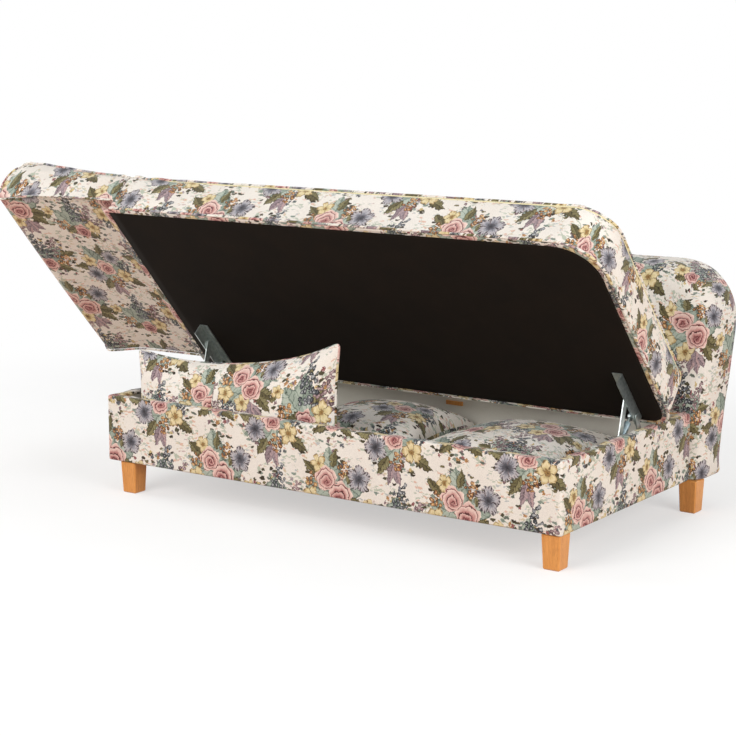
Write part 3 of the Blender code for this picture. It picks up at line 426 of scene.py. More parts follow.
@dataclass(frozen=True)
class Open(Bloom):
    """An open bloom with petals round a dark eye, streaked from the eye outward."""

    petals: int = 5
    notch: float = 0.34
    streaks: int = 15
    streak: float = 0.06

    def draw(self, tree: Tree, x: object, y: object, tint: object) -> tuple[object, object]:
        """Draw the open bloom.

        Args:
            tree: The node tree.
            x: The place across the bloom.
            y: The place up the bloom.
            tint: The bloom's tint.

        Returns:
            Its tone along the yarn colours, and where it covers the cloth.
        """
        way = formula(tree, "arctan2(y, x)", x=x, y=y)
        lobe = formula(tree, f"absolute(cosine({self.petals / 2} * way))", way=way)
        share = formula(tree, f"sqrt(x * x + y * y) / ({1 - self.notch} + {self.notch} * lobe"
                              f" + 0.03 * sine(17 * way))", x=x, y=y, lobe=lobe, way=way)
        streak = formula(tree, f"share + {self.streak} * sine({self.streaks} * way) * share - 0.5 * tint",
                         share=share, way=way, tint=tint)
        tone = formula(tree, "maximum(streak, 0.97 * (lobe < 0.20) * (share > 0.30))",
                       streak=streak, lobe=lobe, share=share)
        return tone, formula(tree, "share < 1", share=share)


@dataclass(frozen=True)
class Leaf(Bloom):
    """A pointed leaf or petal: dark rim, rib and side veins, and a lighter half."""

    width: float = 0.45
    teeth: float = 0.10

    def draw(self, tree: Tree, x: object, y: object, tint: object) -> tuple[object, object]:
        """Draw the leaf.

        Args:
            tree: The node tree.
            x: The place across the bloom.
            y: The place up the bloom.
            tint: The bloom's tint.

        Returns:
            Its tone along the yarn colours, and where it covers the cloth.
        """
        half = formula(tree, f"maximum(0.001, {self.width} * (1 - x * x) * (1 - 0.3 * x)"
                             f" * (1 + {self.teeth} * sine(21 * x)))", x=x)
        aside = formula(tree, "absolute(y)", y=y)
        share = formula(tree, "aside / half", aside=aside, half=half)
        vein = formula(tree, "fract(3.1 * x - 2.4 * aside + 4) < 0.17", x=x, aside=aside)
        tone = formula(tree, "0.62 + 0.24 * (y > 0) - 0.34 * vein - 0.36 * (aside < 0.04)"
                             " - 0.34 * (share > 0.80) - tint", y=y, vein=vein, aside=aside, share=share,
                       tint=tint)
        cover = formula(tree, "(share < 1) * (absolute(x) < 1)", share=share, x=x)
        return tone, cover


@dataclass(frozen=True)
class Florets(Bloom):
    """A head of many small florets, each with its own shade, a light middle and a dark rim."""

    head: Head = Head.ROUND
    number: float = 2.6

    def draw(self, tree: Tree, x: object, y: object, tint: object) -> tuple[object, object]:
        """Draw the head of florets.

        Args:
            tree: The node tree.
            x: The place across the bloom.
            y: The place up the bloom.
            tint: The bloom's tint.

        Returns:
            Its tone along the yarn colours, and where it covers the cloth.
        """
        place = add(tree, "CombineXYZ", x, y, 0.0)
        cells = add(tree, "TexVoronoi", place, self.number, 0.0, None, None, 0.75,
                    voronoi_dimensions="2D", feature="F1")
        middle = add(tree, "SeparateXYZ", cells.outputs["Position"])
        shade = add(tree, "SeparateColor", cells.outputs["Color"])
        far = cells.outputs["Distance"]
        inside = formula(tree, self.head.value, cx=middle.outputs["X"], cy=middle.outputs["Y"])
        cover = formula(tree, "inside * (far < 0.47)", inside=inside, far=far)
        tone = formula(tree, "0.15 + 0.75 * shade + 0.5 * (far < 0.13) - 0.45 * (far > 0.34) - tint",
                       shade=shade.outputs["Red"], far=far, tint=tint)
        return tone, cover


ROSE_YARNS: Stops = ((0.0, "#54262a"), (0.18, "#8a4a4c"), (0.38, "#c08a84"), (0.62, "#debab0"),
                     (1.0, "#efdcd0"))
ANEMONE_YARNS: Stops = ((0.0, "#553a22"), (0.13, "#a58048"), (0.24, "#7d6240"), (0.36, "#d3bf8b"),
                        (0.72, "#e4d6ae"), (0.9, "#c1a672"), (1.0, "#715a3c"))
MALLOW_YARNS: Stops = ((0.0, "#2b2a30"), (0.28, "#54545c"), (0.5, "#8f8f98"), (0.76, "#c4c0c2"),
                       (0.92, "#8a7d80"), (1.0, "#423c41"))
TAN_YARNS: Stops = ((0.0, "#4d3021"), (0.35, "#96643c"), (0.65, "#c4945f"), (1.0, "#e3c69a"))
NAVY_YARNS: Stops = ((0.0, "#202329"), (0.4, "#42464c"), (0.7, "#787b80"), (1.0, "#bcbdbb"))
LILAC_YARNS: Stops = ((0.0, "#533f42"), (0.4, "#836a6d"), (0.7, "#a88f91"), (1.0, "#cfbcb9"))
TULIP_YARNS: Stops = ((0.0, "#45373c"), (0.35, "#7a676d"), (0.7, "#a69499"), (1.0, "#c6a29c"))
TEAL_YARNS: Stops = ((0.0, "#3f4c44"), (0.35, "#768579"), (0.7, "#a2ada0"), (1.0, "#c0c8bb"))
OLIVE_YARNS: Stops = ((0.0, "#2b2317"), (0.35, "#4a4229"), (0.7, "#6d6643"), (1.0, "#979069"))
PALE_YARNS: Stops = ((0.0, "#b5bba9"), (0.3, "#cdbc9d"), (0.5, "#d8b09b"), (0.72, "#b3b6b6"),
                     (0.88, "#c2a8a3"))
FOLIAGE_YARNS: Stops = ((0.0, "#4b4630"), (0.25, "#88978a"), (0.5, "#352c1d"), (0.7, "#666f64"),
                        (0.85, "#756c4a"))
FLORET_YARNS: Stops = ((0.0, "#85696e"), (0.2, "#b98a58"), (0.38, "#5d6068"), (0.55, "#d6bf86"),
                       (0.72, "#985c5c"), (0.86, "#a99aa0"))

BLOOMS: dict[Kind, Bloom] = {
    Kind.TEAL_LEAF: Leaf(TEAL_YARNS, 1.25, 0.62, 0.05),
    Kind.OLIVE_LEAF: Leaf(OLIVE_YARNS, 1.15, 0.46, 0.14),
    Kind.LILAC_SPIRE: Florets(LILAC_YARNS, 1.15, Head.SPIRE, 4.2),
    Kind.NAVY_SPIRE: Florets(NAVY_YARNS, 1.15, Head.SPIRE, 5.2),
    Kind.TULIP: Leaf(TULIP_YARNS, 1.15, 0.40, 0.0),
    Kind.NAVY_HEAD: Florets(NAVY_YARNS, 1.15, Head.ROUND, 2.6),
    Kind.TAN_HEAD: Florets(TAN_YARNS, 1.15, Head.ROUND, 2.4),
    Kind.MALLOW: Open(MALLOW_YARNS, 1.15, 5, 0.28, 25, 0.19),
    Kind.ANEMONE: Open(ANEMONE_YARNS, 1.15, 5, 0.34, 15, 0.06),
    Kind.ROSE: Rose(ROSE_YARNS, 1.0)}


@dataclass(frozen=True)
class Strewn:
    """Small leaves or florets strewn over the cloth, each with its own turn and yarn."""

    stops: Stops
    pitch: float
    petals: int = 0
    width: float = 0.42
    fullness: float = 1.3
    reach: float = 105.0
    outline: float = 0.45
    line: str = "#2b251d"
    length: float = 0.62

    def posy_distance(self, tree: Tree, place: object, repeat: Pair) -> object:
        """Find how far a place is from the nearest posy's middle.

        Args:
            tree: The node tree.
            place: The place on the cloth, in millimetres.
            repeat: The pattern repeat's width and height, in millimetres.

        Returns:
            The distance in millimetres.
        """
        # No place is as far as this from the nearest one.
        least = METRE
        for middle, _ in POSIES:
            there = nearest_repeat(tree, place, middle, repeat)
            far = add(tree, "VectorMath", there, (*middle, 0.0), operation="DISTANCE")
            least = formula(tree, "minimum(far, least)", far=far, least=least)
        return least

    def draw(self, tree: Tree, place: object, repeat: Pair) -> tuple[Node, object]:
        """Draw the leaves or florets.

        Args:
            tree: The node tree.
            place: The place on the cloth, in millimetres.
            repeat: The pattern repeat's width and height, in millimetres.

        Returns:
            Their colour, and where they cover the cloth.
        """
        cells = add(tree, "TexVoronoi", place, 1 / self.pitch, 0.0, None, None, 0.9, voronoi_dimensions="2D",
                    feature="F1")
        middle = cells.outputs["Position"]
        chance = add(tree, "SeparateColor", cells.outputs["Color"]).outputs
        away = add(tree, "VectorMath", place, middle, operation="SUBTRACT")
        away = add(tree, "VectorRotate", away, None, None, formula(tree, "6.283 * a", a=chance["Red"]),
                   rotation_type="Z_AXIS")
        local = add(tree, "SeparateXYZ", away).outputs
        half = self.length * self.pitch
        x = formula(tree, f"x / {half}", x=local["X"])
        y = formula(tree, f"y / {half}", y=local["Y"])
        if self.petals:
            share = formula(tree, f"sqrt(x * x + y * y) / (0.42 + 0.38 * absolute(cosine({self.petals / 2}"
                                  " * arctan2(y, x))))", x=x, y=y)
            dark = formula(tree, "maximum(share < 0.32, share > 0.78)", share=share)
        else:
            share = formula(tree, f"absolute(y) / maximum(0.001, {self.width} * (1 - x * x))", x=x, y=y)
            dark = formula(tree, "maximum(absolute(y) < 0.05, share > 0.72)", y=y, share=share)
        kept = formula(tree, f"b < {self.fullness} - far / {self.reach}", b=chance["Blue"],
                       far=self.posy_distance(tree, middle, repeat))
        yarn = add(tree, "ValToRGB", chance["Green"], stops=self.stops)
        yarn.color_ramp.interpolation = "CONSTANT"
        shade = formula(tree, f"{self.outline} * dark", dark=dark)
        colour = add(tree, "Mix", shade, yarn, linear(self.line), data_type="RGBA")
        cover = formula(tree, "(share < 1) * (absolute(x) < 1) * kept", share=share, x=x, kept=kept)
        return colour, cover


@dataclass(frozen=True)
class FloralTapestry(Finish):
    """Jacquard-woven cotton tapestry: matt ivory cloth with posies woven in many coloured yarns.

    The eye sees soft speckled colours without any gloss, a fine rib, and dark outlines round petals.
    """

    name: str = "floral_tapestry"
    slot: str = "floral"
    repeat: Pair = (400.0, 440.0)
    stitch: float = 1.5
    rib: float = 2.5
    cloud: float = 167.0
    stem: float = 50.0
    patch: float = 70.0
    wander: float = 4.5
    wander_wave: float = 16.7
    ivory: str = "#ece8e0"
    blush: str = "#e4dbd1"
    shade: str = "#574d43"
    speck: float = 0.16
    stroke: float = 0.34
    stroke_length: float = 5.0
    foliage: Strewn = Strewn(FOLIAGE_YARNS, 15.0, 0, 0.46, 1.35, 92.0)
    florets: Strewn = Strewn(FLORET_YARNS, 13.0, 5, 0.0, 0.95, 118.0)
    sprigs: Strewn = Strewn(PALE_YARNS, 12.0, 0, 0.32, 0.92, 4000.0, 0.0)

    def ground(self, tree: Tree, place: Node) -> Node:
        """Lay out the ivory ground with its pale stems and sprigs.

        Args:
            tree: The node tree.
            place: The place on the cloth, in millimetres.

        Returns:
            The ground's colour.
        """
        broad = add(tree, "TexNoise", place, scale_of(self.cloud), 1.0, noise_dimensions="2D")
        colour = add(tree, "Mix", broad, linear(self.ivory), linear(self.blush), data_type="RGBA")
        line = add(tree, "TexNoise", place, scale_of(self.stem), 1.0, 0.4, noise_dimensions="2D")
        patch = add(tree, "TexNoise", place, scale_of(self.patch), 1.0, noise_dimensions="2D")
        stem = formula(tree, "(absolute(line - 0.5) < 0.010) * (patch > 0.40)", line=line, patch=patch)
        colour = add(tree, "Mix", stem, colour, linear(PALE_YARNS[0][1]), data_type="RGBA")
        yarn, cover = self.sprigs.draw(tree, place, self.repeat)
        leaf = formula(tree, "0.9 * cover * (absolute(line - 0.5) < 0.14) * (patch > 0.40)", cover=cover,
                       line=line, patch=patch)
        return add(tree, "Mix", leaf, colour, yarn, data_type="RGBA")

    def lay(self, tree: Tree) -> Inputs:
        """Lay out the tapestry.

        Args:
            tree: The material's node tree.

        Returns:
            The shader's inputs, by name.
        """
        uv = add(tree, "UVMap", uv_map="cloth")
        flat = add(tree, "VectorMath", uv, (METRE, METRE, 0.0), operation="MULTIPLY")
        # Yarns cross about every 0.7 mm, drawn at 1.5 mm so that the stepped edges and the speckle show.
        stitch = add(tree, "VectorMath", flat, (self.stitch, self.stitch, 1.0), operation="SNAP")
        # Petals drawn by hand wander by a few millimetres.
        stray = add(tree, "TexNoise", stitch, scale_of(self.wander_wave), 2.0, noise_dimensions="2D")
        stray = add(tree, "VectorMath", stray.outputs["Color"], (0.5, 0.5, 0.5), operation="SUBTRACT")
        widest = self.wander * 3
        stray = add(tree, "VectorMath", stray, (widest, widest, 0.0), operation="MULTIPLY")
        place = add(tree, "VectorMath", stitch, stray, operation="ADD")
        colour = self.ground(tree, place)
        for layer in (self.foliage, self.florets):
            yarn, cover = layer.draw(tree, place, self.repeat)
            colour = add(tree, "Mix", cover, colour, yarn, data_type="RGBA")
        # The yarns change in strokes about 5 mm long, as in a shaded drawing.
        stroke = add(tree, "TexNoise", place, scale_of(self.stroke_length), 2.0, 0.6, noise_dimensions="2D")
        for kind in Kind:
            bloom = BLOOMS[kind]
            tone, cover = bloom.draw(tree, *bloom.locate(tree, place, kind, self.repeat))
            tone = formula(tree, f"tone + {self.stroke} * (stroke - 0.5)", tone=tone, stroke=stroke)
            yarn = add(tree, "ValToRGB", tone, stops=bloom.stops)
            colour = add(tree, "Mix", cover, colour, yarn, data_type="RGBA")
        speck = add(tree, "TexWhiteNoise", stitch, noise_dimensions="2D")
        shade = formula(tree, f"{self.speck} * speck", speck=speck)
        colour = add(tree, "Mix", shade, colour, linear(self.shade), data_type="RGBA")
        # The rib is 0.7 mm in the cloth and 2.5 mm here, for the same reason.
        axes = add(tree, "SeparateXYZ", flat)
        turn = f"{2 * math.pi / self.rib:.3f}"
        rib = formula(tree, f"sine({turn} * u) * sine({turn} * v) + 0.6 * speck", u=axes.outputs["X"],
                      v=axes.outputs["Y"], speck=speck)
        bump = add(tree, "Bump", 0.25, 0.0006, None, rib)
        return {"Base Color": colour, "Roughness": 0.88, "Specular IOR Level": 0.25, "Sheen Weight": 0.12,
                "Sheen Roughness": 0.5, "Normal": bump}


@dataclass(frozen=True)
class NonwovenCloth(Finish):
    """Spun-bonded dust cloth: brown-black felted fibres, matt, with a faint pressed mottle."""

    name: str = "nonwoven_dust_cloth"
    slot: str = "underside"
    fibre: float = 2.4
    mottle: float = 111.0
    tones: Stops = ((0.3, "#0f0b07"), (0.7, "#1c140d"))

    def lay(self, tree: Tree) -> Inputs:
        """Lay out the dust cloth.

        Args:
            tree: The material's node tree.

        Returns:
            The shader's inputs, by name.
        """
        place = add(tree, "UVMap", uv_map="cloth")
        fibre = add(tree, "TexNoise", place, scale_of(self.fibre, METRE), 4.0, 0.7)
        mottle = add(tree, "TexNoise", place, scale_of(self.mottle, METRE), 3.0)
        mixed = formula(tree, "0.6 * fibre + 0.4 * mottle", fibre=fibre, mottle=mottle)
        colour = add(tree, "ValToRGB", mixed, stops=self.tones)
        bump = add(tree, "Bump", 0.35, 0.0005, None, fibre)
        return {"Base Color": colour, "Roughness": 0.92, "Specular IOR Level": 0.12, "Normal": bump}


class Grain(Enum):
    """The way a board's grain runs, as the stretch of its pattern in each direction."""

    UP = (1.0, 1.0, 0.06)
    LENGTHWISE = (0.06, 1.0, 1.0)
    ACROSS = (1.0, 0.06, 1.0)


@dataclass(frozen=True)
class Timber(Finish):
    """Planed solid timber: streaks and short dark flecks along the grain under a thin lacquer."""

    light: str = "#db9850"
    dark: str = "#c7823c"
    fleck: str = "#a4622b"
    grain: Grain = Grain.UP
    roughness: float = 0.42
    coat: float = 0.12
    ring: float = 5.3
    mark: float = 1.43
    cloud: float = 70.0

    def lay(self, tree: Tree) -> Inputs:
        """Lay out the timber.

        Args:
            tree: The material's node tree.

        Returns:
            The shader's inputs, by name.
        """
        spot = add(tree, "TexCoord").outputs["Object"]
        along = add(tree, "VectorMath", spot, self.grain.value, operation="MULTIPLY")
        # The flecks are about 1 mm wide in the wood, and are drawn a little wider.
        streak = add(tree, "TexNoise", along, scale_of(self.ring, METRE), 3.0, 0.6, None, 0.4)
        fleck = add(tree, "TexNoise", along, scale_of(self.mark, METRE), 2.0, 0.5)
        cloud = add(tree, "TexNoise", spot, scale_of(self.cloud, METRE), 2.0)
        tone = formula(tree, "0.7 * streak + 0.3 * cloud", streak=streak, cloud=cloud)
        colour = add(tree, "ValToRGB", tone, stops=((0.34, self.dark), (0.62, self.light)))
        marks = formula(tree, "0.55 * (fleck > 0.62)", fleck=fleck)
        colour = add(tree, "Mix", marks, colour, linear(self.fleck), data_type="RGBA")
        rough = formula(tree, f"{self.roughness} + 0.14 * (streak - 0.5)", streak=streak)
        bump = add(tree, "Bump", 0.12, 0.0004, None, fleck)
        return {"Base Color": colour, "Roughness": rough, "Normal": bump, "Coat Weight": self.coat,
                "Coat Roughness": 0.3}


@dataclass(frozen=True)
class Fibreboard(Finish):
    """White-faced hardboard: a smooth pale film with faint grey clouds and rubbed specks."""

    name: str = "white_hardboard"
    slot: str = "lining"
    cloud: float = 167.0
    grit: float = 1.92
    tones: Stops = ((0.3, "#cfcbc0"), (0.6, "#e0ddd4"))

    def lay(self, tree: Tree) -> Inputs:
        """Lay out the hardboard.

        Args:
            tree: The material's node tree.

        Returns:
            The shader's inputs, by name.
        """
        spot = add(tree, "TexCoord").outputs["Object"]
        cloud = add(tree, "TexNoise", spot, scale_of(self.cloud, METRE), 3.0)
        grit = add(tree, "TexNoise", spot, scale_of(self.grit, METRE), 2.0)
        tone = formula(tree, "0.75 * cloud + 0.25 * grit", cloud=cloud, grit=grit)
        colour = add(tree, "ValToRGB", tone, stops=self.tones)
        rough = formula(tree, "0.5 + 0.2 * grit", grit=grit)
        bump = add(tree, "Bump", 0.08, 0.0003, None, grit)
        return {"Base Color": colour, "Roughness": rough, "Normal": bump}


@dataclass(frozen=True)
class Foam(Finish):
    """Cut polyurethane foam: cream, matt, with open cells."""

    name: str = "polyurethane_foam"
    slot: str = "foam"
    cell: float = 2.6
    tones: Stops = ((0.0, "#b6a877"), (0.5, "#e2d8b0"))

    def lay(self, tree: Tree) -> Inputs:
        """Lay out the foam.

        Args:
            tree: The material's node tree.

        Returns:
            The shader's inputs, by name.
        """
        spot = add(tree, "TexCoord").outputs["Object"]
        cells = add(tree, "TexVoronoi", spot, scale_of(self.cell, METRE))
        colour = add(tree, "ValToRGB", cells, stops=self.tones)
        bump = add(tree, "Bump", 0.4, 0.001, None, cells)
        return {"Base Color": colour, "Roughness": 0.95, "Specular IOR Level": 0.2, "Normal": bump}


@dataclass(frozen=True)
class Webbing(Finish):
    """Elastic furniture webbing: brown twill bands with paler stripes along them."""

    name: str = "elastic_webbing"
    slot: str = "webbing"
    rib: float = 3.0
    tones: Stops = ((0.2, "#5b5040"), (0.8, "#8d8069"))

    def lay(self, tree: Tree) -> Inputs:
        """Lay out the webbing.

        Args:
            tree: The material's node tree.

        Returns:
            The shader's inputs, by name.
        """
        spot = add(tree, "TexCoord").outputs["Object"]
        axes = add(tree, "SeparateXYZ", spot)
        turn = f"{2 * math.pi * METRE / self.rib:.0f}"
        rib = formula(tree, f"0.5 + 0.5 * sine({turn} * y) * sine({turn} * x)", x=axes.outputs["X"],
                      y=axes.outputs["Y"])
        colour = add(tree, "ValToRGB", rib, stops=self.tones)
        bump = add(tree, "Bump", 0.4, 0.0008, None, rib)
        return {"Base Color": colour, "Roughness": 0.85, "Normal": bump}


@dataclass(frozen=True)
class Steel(Finish):
    """Plated pressed steel: a grey film with a soft directional brush and cloudy spangle."""

    tint: str = "#c6ccc9"
    shade: str = "#a4adaa"
    roughness: float = 0.40
    spangle: float = 9.1
    scratch: float = 1.11
    brushed: Point = (1.0, 1.0, 0.05)

    def lay(self, tree: Tree) -> Inputs:
        """Lay out the steel.

        Args:
            tree: The material's node tree.

        Returns:
            The shader's inputs, by name.
        """
        spot = add(tree, "TexCoord").outputs["Object"]
        cloud = add(tree, "TexVoronoi", spot, scale_of(self.spangle, METRE))
        brush = add(tree, "VectorMath", spot, self.brushed, operation="MULTIPLY")
        brush = add(tree, "TexNoise", brush, scale_of(self.scratch, METRE), 2.0)
        tone = formula(tree, "0.6 * cloud + 0.4 * brush", cloud=cloud, brush=brush)
        colour = add(tree, "ValToRGB", tone, stops=((0.2, self.shade), (0.7, self.tint)))
        rough = formula(tree, f"{self.roughness} + 0.16 * (brush - 0.5)", brush=brush)
        bump = add(tree, "Bump", 0.05, 0.0003, None, brush)
        return {"Base Color": colour, "Metallic": 1.0, "Roughness": rough, "Normal": bump}


class Stock:
    """The finishes, each made once."""

    def __init__(self) -> None:
        """Make every finish."""
        self.floral = FloralTapestry().make()
        self.dust_cloth = NonwovenCloth().make()
        self.beech = Timber("lacquered_beech", "beech").make()
        pine = ("board", "#cda473", "#b58656", "#8f5f38")
        self.pine_long = Timber("pine_lengthwise", *pine, Grain.LENGTHWISE, 0.62, 0.0).make()
        self.pine_across = Timber("pine_across", *pine, Grain.ACROSS, 0.62, 0.0).make()
        self.hardboard = Fibreboard().make()
        self.foam = Foam().make()
        self.webbing = Webbing().make()
        self.zinc = Steel("zinc_plated_steel", "steel").make()
        self.rod = Steel("ground_rod_steel", "steel", "#a7aeae", "#8b9494", 0.30).make()
        self.strut = Steel("blued_strut_steel", "strut", "#a9bac0", "#7f939b", 0.34).make()

    def for_node(self, node: str) -> bpy.types.Material:
        """Choose the finish of a solid that stays in view or stays under the fabric.

        Args:
            node: The solid's name.

        Returns:
            Its material.
        """
        # A leg's bolts come before the legs, whose name theirs starts with.
        choices = ((self.zinc, ("leg_bolt", "backrest_bolt", "lift_base", "lid_rail", "front_link",
                                "rear_link", "ratchet")),
                   (self.beech, ("leg", "back_cleat")),
                   (self.pine_across, ("left_board", "right_board", "floor_batten_middle", "corner_plate")),
                   (self.hardboard, ("floor_panel", "wall_lining")),
                   (self.foam, ("seat_foam", "headrest_foam")),
                   (self.webbing, ("seat_webbing",)),
                   (self.strut, ("strut_cylinder",)),
                   (self.rod, ("strut_rod",)))
        return next((finish for finish, starts in choices if node.startswith(starts)), self.pine_long)


# Forms

def spread(low: float, high: float, pitch: float, near_low: Sequence[float] = (),
           near_high: Sequence[float] = ()) -> list[float]:
    """Grid lines at a pitch, with closer lines near the ends.

    Args:
        low: The first line.
        high: The last line.
        pitch: About how far apart the middle lines are.
        near_low: Distances of closer lines from the first one, in order.
        near_high: Distances of closer lines from the last one, in order.

    Returns:
        The lines from low to high.
    """
    start, end = low + max(near_low, default=0.0), high - max(near_high, default=0.0)
    middle = np.linspace(start, end, max(1, round((end - start) / pitch)) + 1)
    near = [low + d for d in (0.0, *near_low[:-1])] if near_low else []
    far = [high - d for d in (*reversed(near_high[:-1]), 0.0)] if near_high else []
    return [*near, *middle, *far]


def bulge(value: float, low: float, high: float) -> float:
    """1 in the middle of a span and 0 at its ends."""
    share = (value - low) / (high - low)
    return max(0.0, 4 * share * (1 - share))


def ease(value: float, start: float, end: float) -> float:
    """0 before the start and 1 after the end, with a smooth way between."""
    share = min(1.0, max(0.0, (value - start) / (end - start)))
    return share * share * (3 - 2 * share)


def round_off(offset: Sequence[float]) -> list[float]:
    """Turn a square corner's offset into a round one's, keeping its reach."""
    longest, length = max(abs(c) for c in offset), math.sqrt(sum(c * c for c in offset))
    return [c * longest / length for c in offset] if length > 0 else list(offset)


def soften(point: Vector, low: Sequence[float], high: Sequence[float], faces: Sequence[Side],
           sides: Sequence[Side], edge: float, corner: float) -> Vector:
    """Round a padded slab's rims by edge, and by corner each place where two of its sides meet.

    Args:
        point: A point of the square slab.
        low: The slab's low corner.
        high: The slab's high corner.
        faces: Its faces as (axis, way), with way -1 at the low end and 1 at the high end.
        sides: Its sides, written in the same way.
        edge: The rims' radius.
        corner: The corners' radius.

    Returns:
        The point on the padded slab.
    """
    def inset(axis: int, way: int) -> float:
        """How far the point lies in from one side."""
        return high[axis] - point[axis] if way > 0 else point[axis] - low[axis]

    side_inset, side = min((inset(*s), s) for s in sides)
    face_inset, face = min((inset(*f), f) for f in faces)
    new_side, new_face = side_inset, face_inset
    if side_inset < edge and face_inset < edge:
        across, down = round_off((edge - side_inset, edge - face_inset))
        new_side, new_face = edge - across, edge - down
    place = point.copy()
    place[face[0]] += face[1] * (face_inset - new_face)
    place[side[0]] += side[1] * (side_inset - new_side)
    for pair in itertools.combinations(sides, 2):
        offset = [corner - inset(*s) for s in pair]
        if pair[0][0] != pair[1][0] and min(offset) > 0:
            share = (corner - new_side) / math.hypot(*offset)
            for (axis, way), part in zip(pair, offset):
                end = high[axis] if way > 0 else low[axis]
                place[axis] = end - way * (corner - part * share)
    return place


def round_corner(point: Vector, axes: Side, corner: Sequence[float], ways: Side, radius: float) -> Vector:
    """Round one corner of a form, seen along the axis that isn't in axes.

    Args:
        point: The point, which is moved.
        axes: The two axes that the corner lies in.
        corner: The corner's place on them.
        ways: Which way the corner points on each.
        radius: Its radius.

    Returns:
        The same point.
    """
    offset = [ways[i] * (point[axes[i]] - corner[i]) + radius for i in range(2)]
    if min(offset) > 0:
        offset = round_off(offset)
        for i in range(2):
            point[axes[i]] = corner[i] + ways[i] * (offset[i] - radius)
    return point


def pucker(place: Vector, pitch: float, depth: float) -> float:
    """A soft irregular ripple, about pitch long and depth high."""
    return depth * noise.noise(place / pitch)


def mesh_object(name: str, points: Sequence[Sequence[float]], faces: Sequence[Sequence[int]],
                weave: Sequence[Pair]) -> Piece:
    """Make a smooth mesh whose UV map lays the cloth out in metres.

    Args:
        name: The piece's name.
        points: Its vertices.
        faces: Its faces.
        weave: The cloth's place at each face corner.

    Returns:
        The linked object.
    """
    mesh = bpy.data.meshes.new(name)
    mesh.from_pydata([tuple(p) for p in points], [], faces)
    layer = mesh.uv_layers.new(name="cloth")
    layer.data.foreach_set("uv", np.array(weave, np.float32).ravel())
    mesh.shade_smooth()
    item = bpy.data.objects.new(name, mesh)
    bpy.context.scene.collection.objects.link(item)
    return item


@dataclass
class Block:
    """A closed block of cloth on three sets of grid lines."""

    lines: tuple[list[float], list[float], list[float]]
    shift: Pair = (0.0, 0.0)
    index: dict[tuple[int, int, int], int] = field(default_factory=dict)

    def unwrap(self, axis: int, end: int, place: Sequence[float]) -> Pair:
        """Lay the cloth of one side out flat, running on from the front round the ends and over the top.

        Args:
            axis: The axis that the side faces along.
            end: 0 for its low side and 1 for its high one.
            place: The point on the square block.

        Returns:
            The cloth's place, in metres.
        """
        low, high = [line[0] for line in self.lines], [line[-1] for line in self.lines]
        x, y, z = place
        back = y - low[1]
        flat = {(1, 0): (x, z), (1, 1): (2 * high[0] - x + high[1] - low[1], z),
                (0, 1): (high[0] + back, z), (0, 0): (low[0] - back, z),
                (2, 1): (x, high[2] + back), (2, 0): (x, low[2] - back)}[axis, end]
        return flat[0] + self.shift[0], flat[1] + self.shift[1]

    def build(self, name: str, form: Shape, panel: Callable[[Vector], Pair] | None = None) -> Piece:
        """Build the block and move each of its points by a form.

        Args:
            name: The piece's name.
            form: Where each point of the square block goes.
            panel: How far the weave of a face at a place is shifted, where panels are sewn together.

        Returns:
            The piece.
        """
        points: list[Vector] = []
        faces, weave = [], []
        counts = [len(line) for line in self.lines]
        for axis, end in itertools.product(range(3), (0, 1)):
            across, up = [a for a in range(3) if a != axis]
            for i, j in itertools.product(range(counts[across] - 1), range(counts[up] - 1)):
                ring = [(i, j), (i + 1, j), (i + 1, j + 1), (i, j + 1)]
                if (end == 1) == (axis == 1):
                    ring.reverse()
                face, middle, laid = [], Vector(), []
                for a, b in ring:
                    key = [0, 0, 0]
                    key[axis], key[across], key[up] = end * (counts[axis] - 1), a, b
                    place = Vector([self.lines[n][key[n]] for n in range(3)])
                    if tuple(key) not in self.index:
                        self.index[tuple(key)] = len(points)
                        points.append(place)
                    face.append(self.index[tuple(key)])
                    laid.append(self.unwrap(axis, end, place))
                    middle += place / 4
                moved = panel(middle) if panel else (0.0, 0.0)
                faces.append(face)
                weave += [(u + moved[0], v + moved[1]) for u, v in laid]
        return mesh_object(name, [form(p) for p in points], faces, weave)

    def seam(self, level: int, end: int) -> list[int]:
        """The vertices along the front, round one end and along the back at one level.

        Args:
            level: The level's number, from the bottom or, if negative, from the top.
            end: 0 for the run round the left end and 1 for the run round the right one.

        Returns:
            The vertices' numbers, in order.
        """
        wide, deep, high = [len(line) for line in self.lines]
        k = level % high
        along = list(range(1, wide)) if end else list(range(wide - 2, -1, -1))
        keys = [(i, 0, k) for i in along] + [(along[-1], j, k) for j in range(1, deep)]
        keys += [(i, deep - 1, k) for i in along[-2::-1]]
        return [self.index[key] for key in keys]

    def side_seam(self, end: int) -> list[int]:
        """The vertices round one long side: along its top, down its left end and along its bottom.

        Args:
            end: 0 for the front side and 1 for the back one.

        Returns:
            The vertices' numbers, in order.
        """
        wide, deep, high = [len(line) for line in self.lines]
        j = end * (deep - 1)
        keys = [(i, j, high - 1) for i in range(wide - 2, -1, -1)]
        keys += [(0, j, k) for k in range(high - 2, -1, -1)] + [(i, j, 0) for i in range(1, wide - 1)]
        return [self.index[key] for key in keys]


def coordinates(item: Piece) -> np.ndarray:
    """Read a mesh's vertices.

    Args:
        item: The piece.

    Returns:
        Its vertices, as rows.
    """
    found = np.empty(len(item.data.vertices) * 3, np.float32)
    item.data.vertices.foreach_get("co", found)
    return found.reshape(-1, 3)


def reshape(item: Piece, points: np.ndarray) -> None:
    """Move a mesh's vertices to the rows' places."""
    item.data.vertices.foreach_set("co", points.ravel())
    item.data.update()


